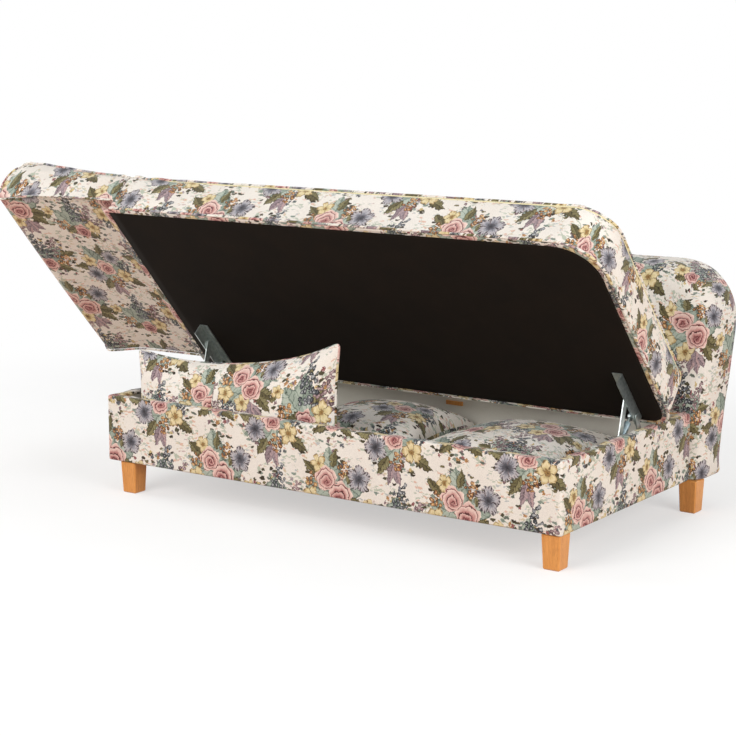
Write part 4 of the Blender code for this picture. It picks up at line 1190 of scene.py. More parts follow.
def inflate(item: Piece, held: Sequence[int], cap: float, pressure: float = 4.0,
            slack: float = 0.02, frames: int = 20) -> None:
    """Args:
        item: The piece, whose mesh is changed.
        held: The vertices that stay where they are.
        cap: The furthest that a point may move.
        pressure: The pressure inside.
        slack: The share by which the cloth is cut too large, which gives it its creases.
        frames: The frames to run.
    """
    rest = coordinates(item)
    group = item.vertex_groups.new(name="held")
    group.add([int(i) for i in held], 1.0, "REPLACE")
    cloth = item.modifiers.new("swell", "CLOTH")
    cloth.settings.quality = 5
    cloth.settings.mass = 0.3
    cloth.settings.tension_stiffness = 18.0
    cloth.settings.compression_stiffness = 18.0
    cloth.settings.shear_stiffness = 8.0
    cloth.settings.bending_stiffness = 0.6
    cloth.settings.use_pressure = True
    cloth.settings.uniform_pressure_force = pressure
    cloth.settings.shrink_min = -slack
    cloth.settings.vertex_group_mass = "held"
    cloth.settings.effector_weights.gravity = 0.0
    cloth.point_cache.frame_start, cloth.point_cache.frame_end = 1, frames
    scene = bpy.context.scene
    for frame in range(1, frames + 1):
        scene.frame_set(frame)
    swollen = item.evaluated_get(bpy.context.evaluated_depsgraph_get())
    moved = np.empty(len(rest) * 3, np.float32)
    swollen.to_mesh().vertices.foreach_get("co", moved)
    swollen.to_mesh_clear()
    item.modifiers.remove(cloth)
    item.vertex_groups.remove(group)
    scene.frame_set(1)
    way = moved.reshape(-1, 3) - rest
    length = np.maximum(np.linalg.norm(way, axis=1, keepdims=True), LEAST_LENGTH)
    reshape(item, rest + way / length * cap * np.tanh(length / cap))


def smooth(item: Piece, levels: int = 1) -> None:
    """Add a subdivision to a piece.

    Args:
        item: The piece.
        levels: How often its faces are divided.
    """
    finer = item.modifiers.new("finer", "SUBSURF")
    finer.levels = finer.render_levels = levels
    finer.boundary_smooth = "PRESERVE_CORNERS"


def cord_along(name: str, path: Sequence[Vector], radius: float, sides: int = 8) -> Piece:
    """A round cord along a path, closed at both ends.

    Args:
        name: The piece's name.
        path: The points that it follows.
        radius: Its radius.
        sides: How many sides it has.

    Returns:
        The piece.
    """
    points, weave_along = [], []
    run, across = 0.0, Vector((0.0, 0.0, 1.0))
    for index, place in enumerate(path):
        before, after = path[max(index - 1, 0)], path[min(index + 1, len(path) - 1)]
        ahead = (after - before).normalized()
        across = (across - ahead * across.dot(ahead)).normalized()
        aside = ahead.cross(across)
        run += (place - before).length if index else 0.0
        weave_along.append(run)
        for step in range(sides):
            angle = 2 * math.pi * step / sides
            points.append(place + radius * (across * math.cos(angle) + aside * math.sin(angle)))
    faces, weave = [], []
    girth = 2 * math.pi * radius / sides
    for ring in range(len(path) - 1):
        for step in range(sides):
            after = (step + 1) % sides
            faces.append([ring * sides + step, ring * sides + after, (ring + 1) * sides + after,
                          (ring + 1) * sides + step])
            # The strip is cut on the bias, so it runs slantwise through the pattern.
            near, far = weave_along[ring], weave_along[ring + 1]
            weave += [(near, near + step * girth), (near, near + (step + 1) * girth),
                      (far, far + (step + 1) * girth), (far, far + step * girth)]
    last = (len(path) - 1) * sides
    faces += [list(range(sides))[::-1], list(range(last, last + sides))]
    weave += [(0.0, 0.0)] * (2 * sides)
    return mesh_object(name, points, faces, weave)


def piping(name: str, item: Piece, run: Sequence[int], radius: float, upper: bool) -> Piece:
    """A fabric-covered cord sewn into a seam.

    Args:
        name: The piece's name.
        item: The piece whose seam it follows.
        run: The seam's vertices, in order.
        radius: The cord's radius.
        upper: Whether the seam is the upper one, which the cord stands out from at a slant.

    Returns:
        The cord.
    """
    path = []
    for number in run:
        vertex = item.data.vertices[number]
        way = vertex.normal if upper else Vector((vertex.normal.x, vertex.normal.y, 0.0)).normalized()
        path.append(vertex.co + way * PIPING_PROUD * radius + Vector((0.0, 0.0, 0.0 if upper else radius)))
    cord = cord_along(name, path, radius)
    smooth(cord)
    return cord


# Sub-assemblies

# The seat and the head section are cut so that the pattern runs on across the crease.
LID_WEAVE: Pair = (0.05, -0.16)
# Closer grid lines, as distances from an end: at a rim, at a sharper corner, and at the round nose.
RIM_LINES = (0.006, 0.014, 0.028)
CORNER_LINES = (0.006, 0.014, 0.022, 0.030)
NOSE_LINES = (0.037, 0.044, 0.051, 0.058)


@dataclass(frozen=True)
class Setting:
    """Where the drawn pieces go: the box's front right corner, and the seat's way from closed to open."""

    corner: Vector
    closed: Pair = (0.55, 0.273)
    opened: Pair = (0.414944, 0.381723)
    angle: float = 48.6

    def fixed(self) -> Matrix:
        """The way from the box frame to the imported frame."""
        return Matrix.Translation(self.corner)

    def lid(self) -> Matrix:
        """Work out the way from the closed seat to the open one.

        Returns:
            The way from the closed seat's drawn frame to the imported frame.
        """
        turn = Matrix.Rotation(math.radians(-self.angle), 4, "X")
        return (self.fixed() @ Matrix.Translation((0.0, *self.opened)) @ turn
                @ Matrix.Translation((0.0, -self.closed[0], -self.closed[1])))


def settle(item: Piece, place: Matrix, body: str, finish: bpy.types.Material,
           stands_for: Sequence[str] = (), fill: float | None = None) -> Piece:
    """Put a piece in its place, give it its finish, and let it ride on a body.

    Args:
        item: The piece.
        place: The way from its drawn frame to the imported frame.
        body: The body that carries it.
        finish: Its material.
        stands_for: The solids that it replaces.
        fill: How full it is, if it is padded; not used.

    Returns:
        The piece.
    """
    item.data.transform(place)
    item.data.materials.append(finish)
    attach(item, body)
    if stands_for:
        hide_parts(*stands_for)
    LOG.info("%s rides on %s with %d vertices", item.name, body, len(item.data.vertices))
    return item


@dataclass
class StorageBox:
    """The storage box's fabric, stretched over its boards and turned in over the rim.

    Ripples, corner seams and tacks are each given as a length and a height.
    """

    length: float = 1.50
    depth: float = 0.72
    bottom: float = 0.093
    rim: float = 0.283
    corner: float = 0.010
    corner_step: int = 9
    wall: float = 0.0291
    turn_in: float = 0.010
    turn_under: float = 0.016
    rim_radius: float = 0.005
    rim_crown: float = 0.0006
    hem: Pair = (0.0004, 0.0006)
    pitch: float = 0.012
    cloth: float = 0.0012
    fade: float = 0.02
    broad_ripple: Pair = (0.09, 0.0010)
    fine_ripple: Pair = (0.03, 0.0004)
    rim_ripple: Pair = (0.05, 0.0016)
    corner_seam: Pair = (0.0022, 0.0012)
    tacks: Pair = (0.0135, 0.0012)
    weave: float = 0.05

    def outline(self) -> list[tuple[Vector, Vector, float]]:
        """The box seen from above, from its back left corner round the front to its back right one.

        Returns:
            Each point, the way out from it, and its distance from the nearest corner's middle.
        """
        r, step = self.corner, self.corner_step
        left, right = -self.length, 0.0
        side = spread(r, self.depth, self.pitch)
        found = [(Vector((left, y, 0)), Vector((-1, 0, 0)), y) for y in reversed(side)]
        for centre, start in ((Vector((left + r, r, 0)), 180), (Vector((-r, r, 0)), 270)):
            for angle in range(start + step, start + 90, step):
                way = Vector((math.cos(math.radians(angle)), math.sin(math.radians(angle)), 0))
                found.append((centre + way * r, way, abs(angle - start - 45) * math.radians(r)))
            if start == 180:
                found += [(Vector((x, 0, 0)), Vector((0, -1, 0)), min(x - left, right - x))
                          for x in spread(left + r, right - r, self.pitch)]
        found += [(Vector((right, y, 0)), Vector((1, 0, 0)), y) for y in side]
        return found

    def section(self) -> list[Pair]:
        """The fabric's section, from the inside over the rim to under the box.

        Returns:
            Each point's distance out from the box, and its height.
        """
        r, inner = self.rim_radius, -self.wall - self.cloth
        arc = [(math.sin(a), math.cos(a)) for a in np.radians(range(15, 90, 15))]
        points = [(inner, self.rim - self.turn_in), (inner, self.rim - r)]
        points += [(inner + r - r * c, self.rim - r + r * s) for s, c in arc]
        points += [(inner + r, self.rim), ((inner - r) / 2, self.rim + self.rim_crown), (-r, self.rim)]
        points += [(-r + r * s, self.rim - r + r * c) for s, c in arc]
        points += [(0.0, z) for z in reversed(spread(self.bottom + r, self.rim - r, self.pitch))]
        points += [(-r + r * c, self.bottom + r - r * s) for s, c in arc]
        points += [(-r, self.bottom + self.hem[0]), (-self.turn_under, self.bottom + self.hem[1])]
        return points

    def lie(self, place: Vector, way: Vector, from_corner: float, run: float, out: float, height: float
            ) -> Vector:
        """Lay one point of the cloth on the box.

        Args:
            place: The point of the outline.
            way: The way out from it.
            from_corner: Its distance from the nearest corner's middle.
            run: Its distance along the outline.
            out: The section's distance out from the box.
            height: The section's height.

        Returns:
            Where the cloth lies, with its slack.
        """
        spot = Vector((place.x, place.y, height))
        free = min(1.0, max(0.0, (out + self.fade) / self.fade))
        # The cloth pulls in a little between its staples under the rim, and swells at corner seams.
        ripple = pucker(spot, *self.broad_ripple) + pucker(spot, *self.fine_ripple)
        slack = free * (ripple - self.fine_ripple[1])
        slack += free * self.corner_seam[1] * math.exp(-(from_corner / self.corner_seam[0]) ** 2)
        near_rim = max(0.0, 1 - abs(height - self.rim) / self.fade)
        lift = near_rim * (self.tacks[1] * math.sin(run / self.tacks[0]) + pucker(spot, *self.rim_ripple))
        return place + way * (out + slack) + Vector((0, 0, height + lift))

    def build(self, setting: Setting, stock: Stock) -> list[Piece]:
        """Build the box's fabric.

        Args:
            setting: Where it goes.
            stock: The finishes.

        Returns:
            The pieces.
        """
        outline, section = self.outline(), self.section()
        girth = [0.0]
        for before, after in zip(section, section[1:]):
            girth.append(girth[-1] + math.dist(before, after))
        points, run, along = [], 0.0, []
        for index, (place, way, from_corner) in enumerate(outline):
            run += (place - outline[index - 1][0]).length if index else 0.0
            along.append(run)
            points += [self.lie(place, way, from_corner, run, *point) for point in section]
        faces, weave = [], []
        count = len(section)
        for i, j in itertools.product(range(len(outline) - 1), range(count - 1)):
            faces.append([i * count + j, i * count + j + 1, (i + 1) * count + j + 1, (i + 1) * count + j])
            start, end = [a - self.depth - self.length for a in along[i:i + 2]]
            low, high = [self.rim - g + self.weave for g in girth[j:j + 2]]
            weave += [(start, low), (start, high), (end, high), (end, low)]
        fabric = mesh_object("box_fabric", points, faces, weave)
        thick = fabric.modifiers.new("thickness", "SOLIDIFY")
        thick.thickness = self.cloth
        thick.offset = -1.0
        settle(fabric, setting.fixed(), "base", stock.floral, ["box_cover"])
        return [fabric]


@dataclass
class Backrest:
    """The padded backrest behind the box, leaning back, with round upper corners."""

    left: float = -1.50
    right: float = 0.030
    front: float = 0.7235
    thickness: float = 0.175
    bottom: float = 0.093
    rim: float = 0.283
    height: float = 0.592
    lean: float = 12.1
    edge: float = 0.05
    corner: float = 0.18
    crown: float = 0.012
    pitch: float = 0.024
    swell: float = 0.007
    fill: float = 0.85
    stapled: float = 0.015
    tucked: Pair = (0.01, 0.03)
    weave: Pair = (0.13, 0.06)

    def form(self, point: Vector) -> Vector:
        """Pad the square block, and lean it back.

        Args:
            point: A point of the block.

        Returns:
            Where it goes on the backrest.
        """
        low = (self.left, self.front, self.bottom)
        high = (self.right, self.front + self.thickness, self.bottom + self.height)
        place = soften(point, low, high, ((1, -1), (1, 1)), ((0, -1), (0, 1), (2, 1)), self.edge, self.corner)
        if place.z > self.rim:
            crown = self.crown * bulge(place.x, self.left, self.right) * bulge(place.z, self.rim, high[2])
            place.y += crown * (2 * (place.y - low[1]) / self.thickness - 1)
        share = (place.y - self.front) / self.thickness
        tangent = math.tan(math.radians(self.lean))
        place.y += (1 - share) * tangent * max(0.0, place.z - self.rim)
        place.y += share * tangent * (place.z - self.bottom)
        return place

    def build(self, setting: Setting, stock: Stock) -> list[Piece]:
        """Build the backrest's padded fabric.

        Args:
            setting: Where it goes.
            stock: The finishes.

        Returns:
            The pieces.
        """
        # Closer lines follow the round corners, the rims and the hem.
        ends = (0.012, 0.026, 0.042, 0.06, 0.085, 0.115, 0.147, 0.18)
        rims = (0.010, 0.022, 0.036, 0.05)
        hem = (0.012, 0.03)
        block = Block((spread(self.left, self.right, self.pitch, ends, ends),
                       spread(self.front, self.front + self.thickness, self.pitch, rims, rims),
                       spread(self.bottom, self.bottom + self.height, self.pitch, hem, ends)), self.weave)
        fabric = block.build("backrest_fabric", self.form)
        _, back, up = coordinates(fabric).T
        # The cloth is stapled under the base and held behind the box.
        behind = (up < self.rim + self.tucked[1]) & (back < self.front + self.tucked[0])
        inflate(fabric, np.nonzero((up < self.bottom + self.stapled) | behind)[0], self.swell)
        smooth(fabric)
        return [settle(fabric, setting.fixed(), "base", stock.floral, ["backrest_cover"], self.fill)]


@dataclass
class SeatLid:
    """The lifting seat: its padded fabric, corded seams, crease lip and dust cloth."""

    left: float = -1.532
    right: float = 0.042
    front: float = -0.012
    back: float = 0.686
    underside: float = 0.287
    top: float = 0.437
    cloth: float = 0.0013
    edge: float = 0.028
    corner: float = 0.12
    back_corner: float = 0.055
    crown: float = 0.013
    margin: float = 0.012
    piping: float = 0.004
    pitch: float = 0.022
    swell: float = 0.009
    fill: float = 0.9
    stapled: float = 0.012
    tacks: Pair = (0.035, 0.0011)
    lip_width: float = 0.042
    lip_thickness: float = 0.014
    lip_rise: float = 0.012
    lip_blunt: float = 0.03
    lip_overlap: float = 0.0004
    lip_pitch: Pair = (0.008, 0.005)
    lip_fill: float = 0.8
    dust_cloth_thickness: float = 0.0009
    dust_cloth_pitch: float = 0.03
    dust_cloth_ripple: Pair = (0.22, 0.0012)
    dust_cloth_slack: float = 6.0

    def form(self, point: Vector) -> Vector:
        """Pad the square block.

        Args:
            point: A point of the block.

        Returns:
            Where it goes on the seat.
        """
        low, high = (self.left, self.front, self.underside + self.cloth), (self.right, self.back, self.top)
        crown = self.crown * bulge(point.x, low[0], high[0]) * bulge(point.y, low[1], high[1])
        at_front = point.y < (low[1] + high[1]) / 2
        side, corner = ((1, -1), self.corner) if at_front else ((1, 1), self.back_corner)
        place = soften(point, low, high, ((2, 1),), ((0, 1), side), self.edge, corner)
        place = round_corner(place, (0, 2), (low[0], high[2]), (-1, 1), self.edge)
        rise = (point.z - low[2]) / (high[2] - low[2])
        # The band is drawn in slightly between its two corded seams' tacks.
        drawn = self.tacks[1] * rise * noise.noise(Vector((point.x, point.y, 0.0)) / self.tacks[0])
        place.z += (crown if high[2] - point.z < TOUCH else 0.0) + drawn
        return place

    def build(self, setting: Setting, stock: Stock) -> list[Piece]:
        """Build the seat's fabric, its two corded seams, its lip and the dust cloth.

        Args:
            setting: Where they go.
            stock: The finishes.

        Returns:
            The pieces.
        """
        low = self.underside + self.cloth
        back_ends = (*RIM_LINES, 0.041, 0.055)
        ends = (*back_ends, 0.075, 0.096, 0.12)
        hem = (0.008, 0.02)
        block = Block((spread(self.left, self.right, self.pitch, RIM_LINES, ends),
                       spread(self.front, self.back, self.pitch, ends, back_ends),
                       spread(low, self.top, self.pitch, hem, RIM_LINES)), LID_WEAVE)
        fabric = block.build("seat_fabric", self.form)
        along, _, up = coordinates(fabric).T
        # The cloth is stapled under the frame, and the left end is held where the head section meets it.
        held = np.nonzero((up < low + self.stapled) | (along < self.left + self.edge))[0]
        inflate(fabric, held, self.swell)
        upper = piping("seat_piping_upper", fabric, block.seam(-1, 1), self.piping, True)
        lower = piping("seat_piping_lower", fabric, block.seam(0, 1), self.piping, False)
        smooth(fabric)
        place = setting.lid()
        return [settle(fabric, place, "lid", stock.floral, ["seat_cover"], self.fill),
                settle(upper, place, "lid", stock.floral, ["seat_piping_top"]),
                settle(lower, place, "lid", stock.floral, ["seat_piping_low"]),
                self.crease_lip(setting, stock), self.dust_cloth(setting, stock)]

    def crease_lip(self, setting: Setting, stock: Stock) -> Piece:
        """Build the padded lip that hides the crease from below.

        Args:
            setting: Where it goes.
            stock: The finishes.

        Returns:
            The piece.
        """
        thick = self.lip_thickness
        middle = self.underside + thick / 2

        def form(point: Vector) -> Vector:
            """Round the lip's free edge and let it rise towards the head section.

            Args:
                point: A point of the flat lip.

            Returns:
                Where it goes.
            """
            share = (self.left - point.x) / self.lip_width
            full = math.sqrt(max(self.lip_blunt, 1 - max(0.0, share) ** 3))
            height = middle + (point.z - middle) * full + self.lip_rise * share ** 2
            return Vector((point.x, point.y, height))

        edge_lines = (0.001, 0.003, 0.007)
        block = Block((spread(self.left - self.lip_width, self.left + self.lip_overlap, self.lip_pitch[0],
                              edge_lines),
                       spread(self.front + self.margin, self.back - self.margin, self.pitch),
                       spread(middle - thick / 2, middle + thick / 2, self.lip_pitch[1])), LID_WEAVE)
        lip = block.build("crease_lip", form)
        smooth(lip)
        return settle(lip, setting.lid(), "lid", stock.floral, fill=self.lip_fill)

    def dust_cloth(self, setting: Setting, stock: Stock) -> Piece:
        """Build the dust cloth that closes the seat's underside.

        Args:
            setting: Where it goes.
            stock: The finishes.

        Returns:
            The piece.
        """
        left, right = self.left, self.right - self.margin
        front, back = self.front + self.margin, self.back - self.margin

        def form(point: Vector) -> Vector:
            """Round the cloth's right corners and let it hang in slight waves.

            Args:
                point: A point of the flat cloth.

            Returns:
                Where it goes.
            """
            place = round_corner(point.copy(), (0, 1), (right, front), (1, -1), self.corner - self.margin)
            place = round_corner(place, (0, 1), (right, back), (1, 1), self.back_corner - self.margin)
            slack = min(1.0, self.dust_cloth_slack * bulge(point.x, left, right),
                        self.dust_cloth_slack * bulge(point.y, front, back))
            place.z += slack * (pucker(point, *self.dust_cloth_ripple) - self.dust_cloth_ripple[1] / 2)
            return place

        ends = (0.012, 0.026, 0.044, 0.064, 0.085, 0.108)
        block = Block((spread(left, right, self.dust_cloth_pitch, (), ends),
                       spread(front, back, self.dust_cloth_pitch, ends, ends),
                       [self.underside, self.underside + self.dust_cloth_thickness]))
        cloth = block.build("underside_dust_cloth", form)
        settle(cloth, setting.lid(), "lid", stock.dust_cloth, ["underside_cloth"])
        return cloth


@dataclass
class HeadSection:
    """The head section at the seat's left end: a rising padded nose with corded seams."""

    right: float = -1.536
    length: float = 0.474
    front: float = -0.012
    back: float = 0.686
    bottom: float = 0.327
    top: float = 0.437
    rise: float = 0.048
    climb: float = 1.2
    level: float = 0.012
    level_from: float = 0.7
    droop: float = 0.026
    droop_from: float = 0.6
    droop_to: float = 0.94
    droop_even: float = 0.25
    droop_end: float = 0.9
    edge: float = 0.028
    nose: float = 0.058
    chin: float = 0.050
    corner: float = 0.030
    crown: float = 0.008
    bow: float = 0.013
    bow_reach: float = 0.10
    upper: float = 4.7
    cheek: float = 0.022
    cheek_reach: float = 0.24
    front_cheek: float = 0.4
    crease: float = 0.004
    crease_reach: float = 0.07
    crease_ripple: float = 0.0022
    folds: Pair = (8.0, 34.0)
    piping: float = 0.0035
    pitch: float = 0.022
    band_pitch: float = 0.01
    swell: float = 0.006
    fill: float = 0.9
    stapled: float = 0.010
    fold_margin: float = 0.010
    fold_depth: float = 0.01
    fold_thickness: float = 0.0016
    fold_crown: float = 0.0010
    fold_dip: float = 0.004
    fold_dip_width: float = 0.2
    fold_bend: float = 0.024
    fold_pitch: float = 0.0055
    fold_fill: float = 0.8

    def reach(self, x: float) -> float:
        """How far a place is from the crease, as a share of the length."""
        return max(0.0, (self.right - x) / self.length)

    def fullness(self, place: Vector, share: float) -> Vector:
        """How far the stuffing pushes the free end and its two cheeks out.

        Args:
            place: The point on the head section.
            share: Its height as a share of the thickness.

        Returns:
            The way that the point moves.
        """
        from_end = place.x - self.right + self.length
        across = 2 * (place.y - self.front) / (self.back - self.front) - 1
        # The end is fullest two thirds of the way up.
        upper = max(0.0, self.upper * share * share * (1 - share))
        end = 1 - (1 - upper) * (1 - bulge(place.y, self.front, self.back))
        out = self.bow * end * max(0.0, 1 - from_end / self.bow_reach) ** 2
        near_end = max(0.0, 1 - from_end / self.cheek_reach)
        aside = self.cheek * across ** 5 * bulge(share, 0.0, 1.0) * near_end
        return Vector((-out, aside if across > 0 else self.front_cheek * aside, 0.0))

    def form(self, point: Vector) -> Vector:
        """Pad the square block, and let it rise towards the free end.

        Args:
            point: A point of the block.

        Returns:
            Where it goes on the head section.
        """
        left = self.right - self.length
        low, high = (left, self.front, self.bottom), (self.right, self.back, self.top)
        place = soften(point, low, high, ((2, 1),), ((0, -1), (1, -1), (1, 1)), self.edge, self.corner)
        place = round_corner(place, (0, 2), (left, high[2]), (-1, 1), self.nose)
        place = round_corner(place, (0, 2), (left, low[2]), (-1, -1), self.chin)
        place = round_corner(place, (0, 2), (self.right, high[2]), (1, 1), self.edge)
        share = (place.z - low[2]) / (high[2] - low[2])
        reach = self.reach(place.x)
        place += self.fullness(place, share)
        # The top levels off towards the free end, and the underside hangs only near it.
        lift = self.rise * reach ** self.climb - self.level * ease(reach, self.level_from, 1.0)
        low_end = ease(reach, self.droop_from, self.droop_to)
        hang = self.droop * (self.droop_even * reach + self.droop_end * low_end)
        place.z += lift * share - hang * (1 - share)
        if high[2] - point.z < TOUCH:
            place.z += self.crown * bulge(point.x, low[0], high[0]) * bulge(point.y, low[1], high[1])
        # Short folds run away from the crease.
        near = max(0.0, 1 - (self.right - point.x) / self.crease_reach)
        fold = noise.noise(Vector((point.x * self.folds[0], point.y * self.folds[1], 0.0)))
        place.z += self.crease_ripple * near * share * fold
        return place

    def build(self, setting: Setting, stock: Stock) -> list[Piece]:
        """Build the head section's fabric, its corded seams and the fold over the crease.

        Args:
            setting: Where they go.
            stock: The finishes.

        Returns:
            The pieces.
        """
        chin_lines = (0.008, 0.018, 0.03, 0.04, 0.05)
        top_lines = (*RIM_LINES, 0.036, *NOSE_LINES[1:])
        block = Block((spread(self.right - self.length, self.right, self.pitch, (*CORNER_LINES, *NOSE_LINES),
                              RIM_LINES),
                       spread(self.front, self.back, self.pitch, CORNER_LINES, CORNER_LINES),
                       spread(self.bottom, self.top, self.band_pitch, chin_lines, top_lines)), LID_WEAVE)
        fabric = block.build("headrest_fabric", self.form)
        along, _, up = coordinates(fabric).T
        # The cloth is stapled under the board, and held where the seat meets it.
        held = np.nonzero((up < self.bottom + self.stapled) | (along > self.right - self.edge))[0]
        inflate(fabric, held, self.swell)
        cords = [piping(f"headrest_piping_{side}", fabric, block.side_seam(end), self.piping, True)
                 for end, side in enumerate(("front", "back"))]
        smooth(fabric)
        place = setting.lid()
        made = [settle(fabric, place, "headrest", stock.floral, ["headrest_cover"], self.fill)]
        made += [settle(cord, place, "headrest", stock.floral) for cord in cords]
        return made + [self.crease_fold(setting, stock)]

    def crease_fold(self, setting: Setting, stock: Stock) -> Piece:
        """Build the soft fold that closes the crease's top.

        Args:
            setting: Where it goes.
            stock: The finishes.

        Returns:
            The piece.
        """
        middle, half = self.right + self.crease / 2, self.edge + self.fold_margin
        low, high = (middle - half, self.front, self.bottom), (middle + half, self.back, self.top)

        def form(point: Vector) -> Vector:
            """Lay the fold's top level with the seat, and its underside on the two round edges.

            Args:
                point: A point of the flat fold.

            Returns:
                Where it goes.
            """
            aside = (point.x - middle) / half
            place = soften(Vector((point.x, point.y, self.top)), low, high, ((2, 1),), ((1, -1), (1, 1)),
                           self.edge, 0.0)
            if point.z > self.top - self.fold_thickness:
                dip = self.fold_dip * math.exp(-(aside / self.fold_dip_width) ** 2)
                place.z += self.fold_crown * (1 - aside ** 2) - dip - self.fold_thickness * aside ** 6
            else:
                way = math.copysign(1.0, -aside)
                end = middle - way * self.crease / 2
                place = round_corner(place, (0, 2), (end, self.top), (way, 1), self.edge)
                place.z -= self.fold_thickness
            place.z += self.rise * self.reach(place.x) ** self.climb
            return place

        block = Block((spread(low[0], high[0], self.fold_pitch),
                       spread(self.front, self.back, self.pitch, CORNER_LINES, CORNER_LINES),
                       [self.top - self.fold_depth, self.top]), LID_WEAVE)
        fold = block.build("crease_fold", form)
        smooth(fold)
        place = setting.lid()
        fold.data.transform(place)
        fold.data.materials.append(stock.floral)
        bend = self.fold_bend
        start, end = [place @ Vector((middle + d, self.front, self.top)) for d in (bend, -bend)]
        tuple(start)
        tuple(end)
        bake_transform(fold)
        LOG.info("%s bends between lid and headrest", fold.name)
        return fold


@dataclass(kw_only=True)
class Cushion:
    """A loose cushion kept in the box: two crowned faces sewn together along a seam."""

    floor: float = 0.1183
    clearance: float = 0.0006
    seam: float = 0.003
    pull: float = 0.07
    corner: float = 0.012
    plump: float = 0.92
    thickness: float
    weave: Pair
    swell: float
    pressure: float
    slack: float
    frames: int = 24
    fill: float = 0.7

    def full(self, u: float, v: float) -> float:
        """Find half of the cushion's thickness at a place.

        Args:
            u: The place across the face, from -1 to 1.
            v: The place up the face, from -1 to 1.

        Returns:
            The distance from the cushion's middle to its face.
        """
        crown = math.sqrt(max(0.0, (1 - u * u) * (1 - v * v)))
        return self.seam + (self.plump * self.thickness / 2 - self.seam) * crown

    def side(self, point: Vector) -> float:
        """1 on the cushion's upper face, -1 on its lower one, and 0 at its seam."""
        return 0.0 if abs(point.z) < TOUCH else math.copysign(1.0, point.z)


@dataclass(kw_only=True)
class SquareCushion(Cushion):
    """A square cushion that lies on the box's floor."""

    name: str
    node: str
    size: float
    middle: Pair
    turn: float
    count: int = 26
    thickness: float = 0.145
    sunk: float = 0.42
    swell: float = 0.014
    pressure: float = 5.0
    slack: float = 0.05

    def form(self, point: Vector) -> Vector:
        """Crown the cushion and draw its sides in between the corners.

        Args:
            point: A point of the flat square.

        Returns:
            Where it goes on the cushion.
        """
        half = self.size / 2
        u, v = point.x / half, point.y / half
        place = Vector((u * half * (1 - self.pull * (1 - v * v)), v * half * (1 - self.pull * (1 - u * u)),
                        self.side(point) * self.full(u, v)))
        for ways in itertools.product((-1, 1), repeat=2):
            place = round_corner(place, (0, 1), (ways[0] * half, ways[1] * half), ways, self.corner)
        return place

    def build(self, setting: Setting, stock: Stock) -> list[Piece]:
        """Build the cushion, flat where it lies on the floor.

        Args:
            setting: Where it goes.
            stock: The finishes.

        Returns:
            The pieces.
        """
        lines = spread(-self.size / 2, self.size / 2, self.size / self.count)
        cushion = Block((lines, lines, [-self.seam, 0.0, self.seam]), self.weave).build(self.name, self.form)
        inflate(cushion, (), self.swell, self.pressure, self.slack, self.frames)
        rest = -self.sunk * self.thickness
        points = coordinates(cushion)
        points[:, 2] = np.maximum(points[:, 2], rest)
        reshape(cushion, points)
        smooth(cushion)
        place = Matrix.Translation((*self.middle, self.floor - rest + self.clearance)) @ Matrix.Rotation(
            math.radians(self.turn), 4, "Z")
        return [settle(cushion, setting.fixed() @ place, "base", stock.floral, [self.node], self.fill)]


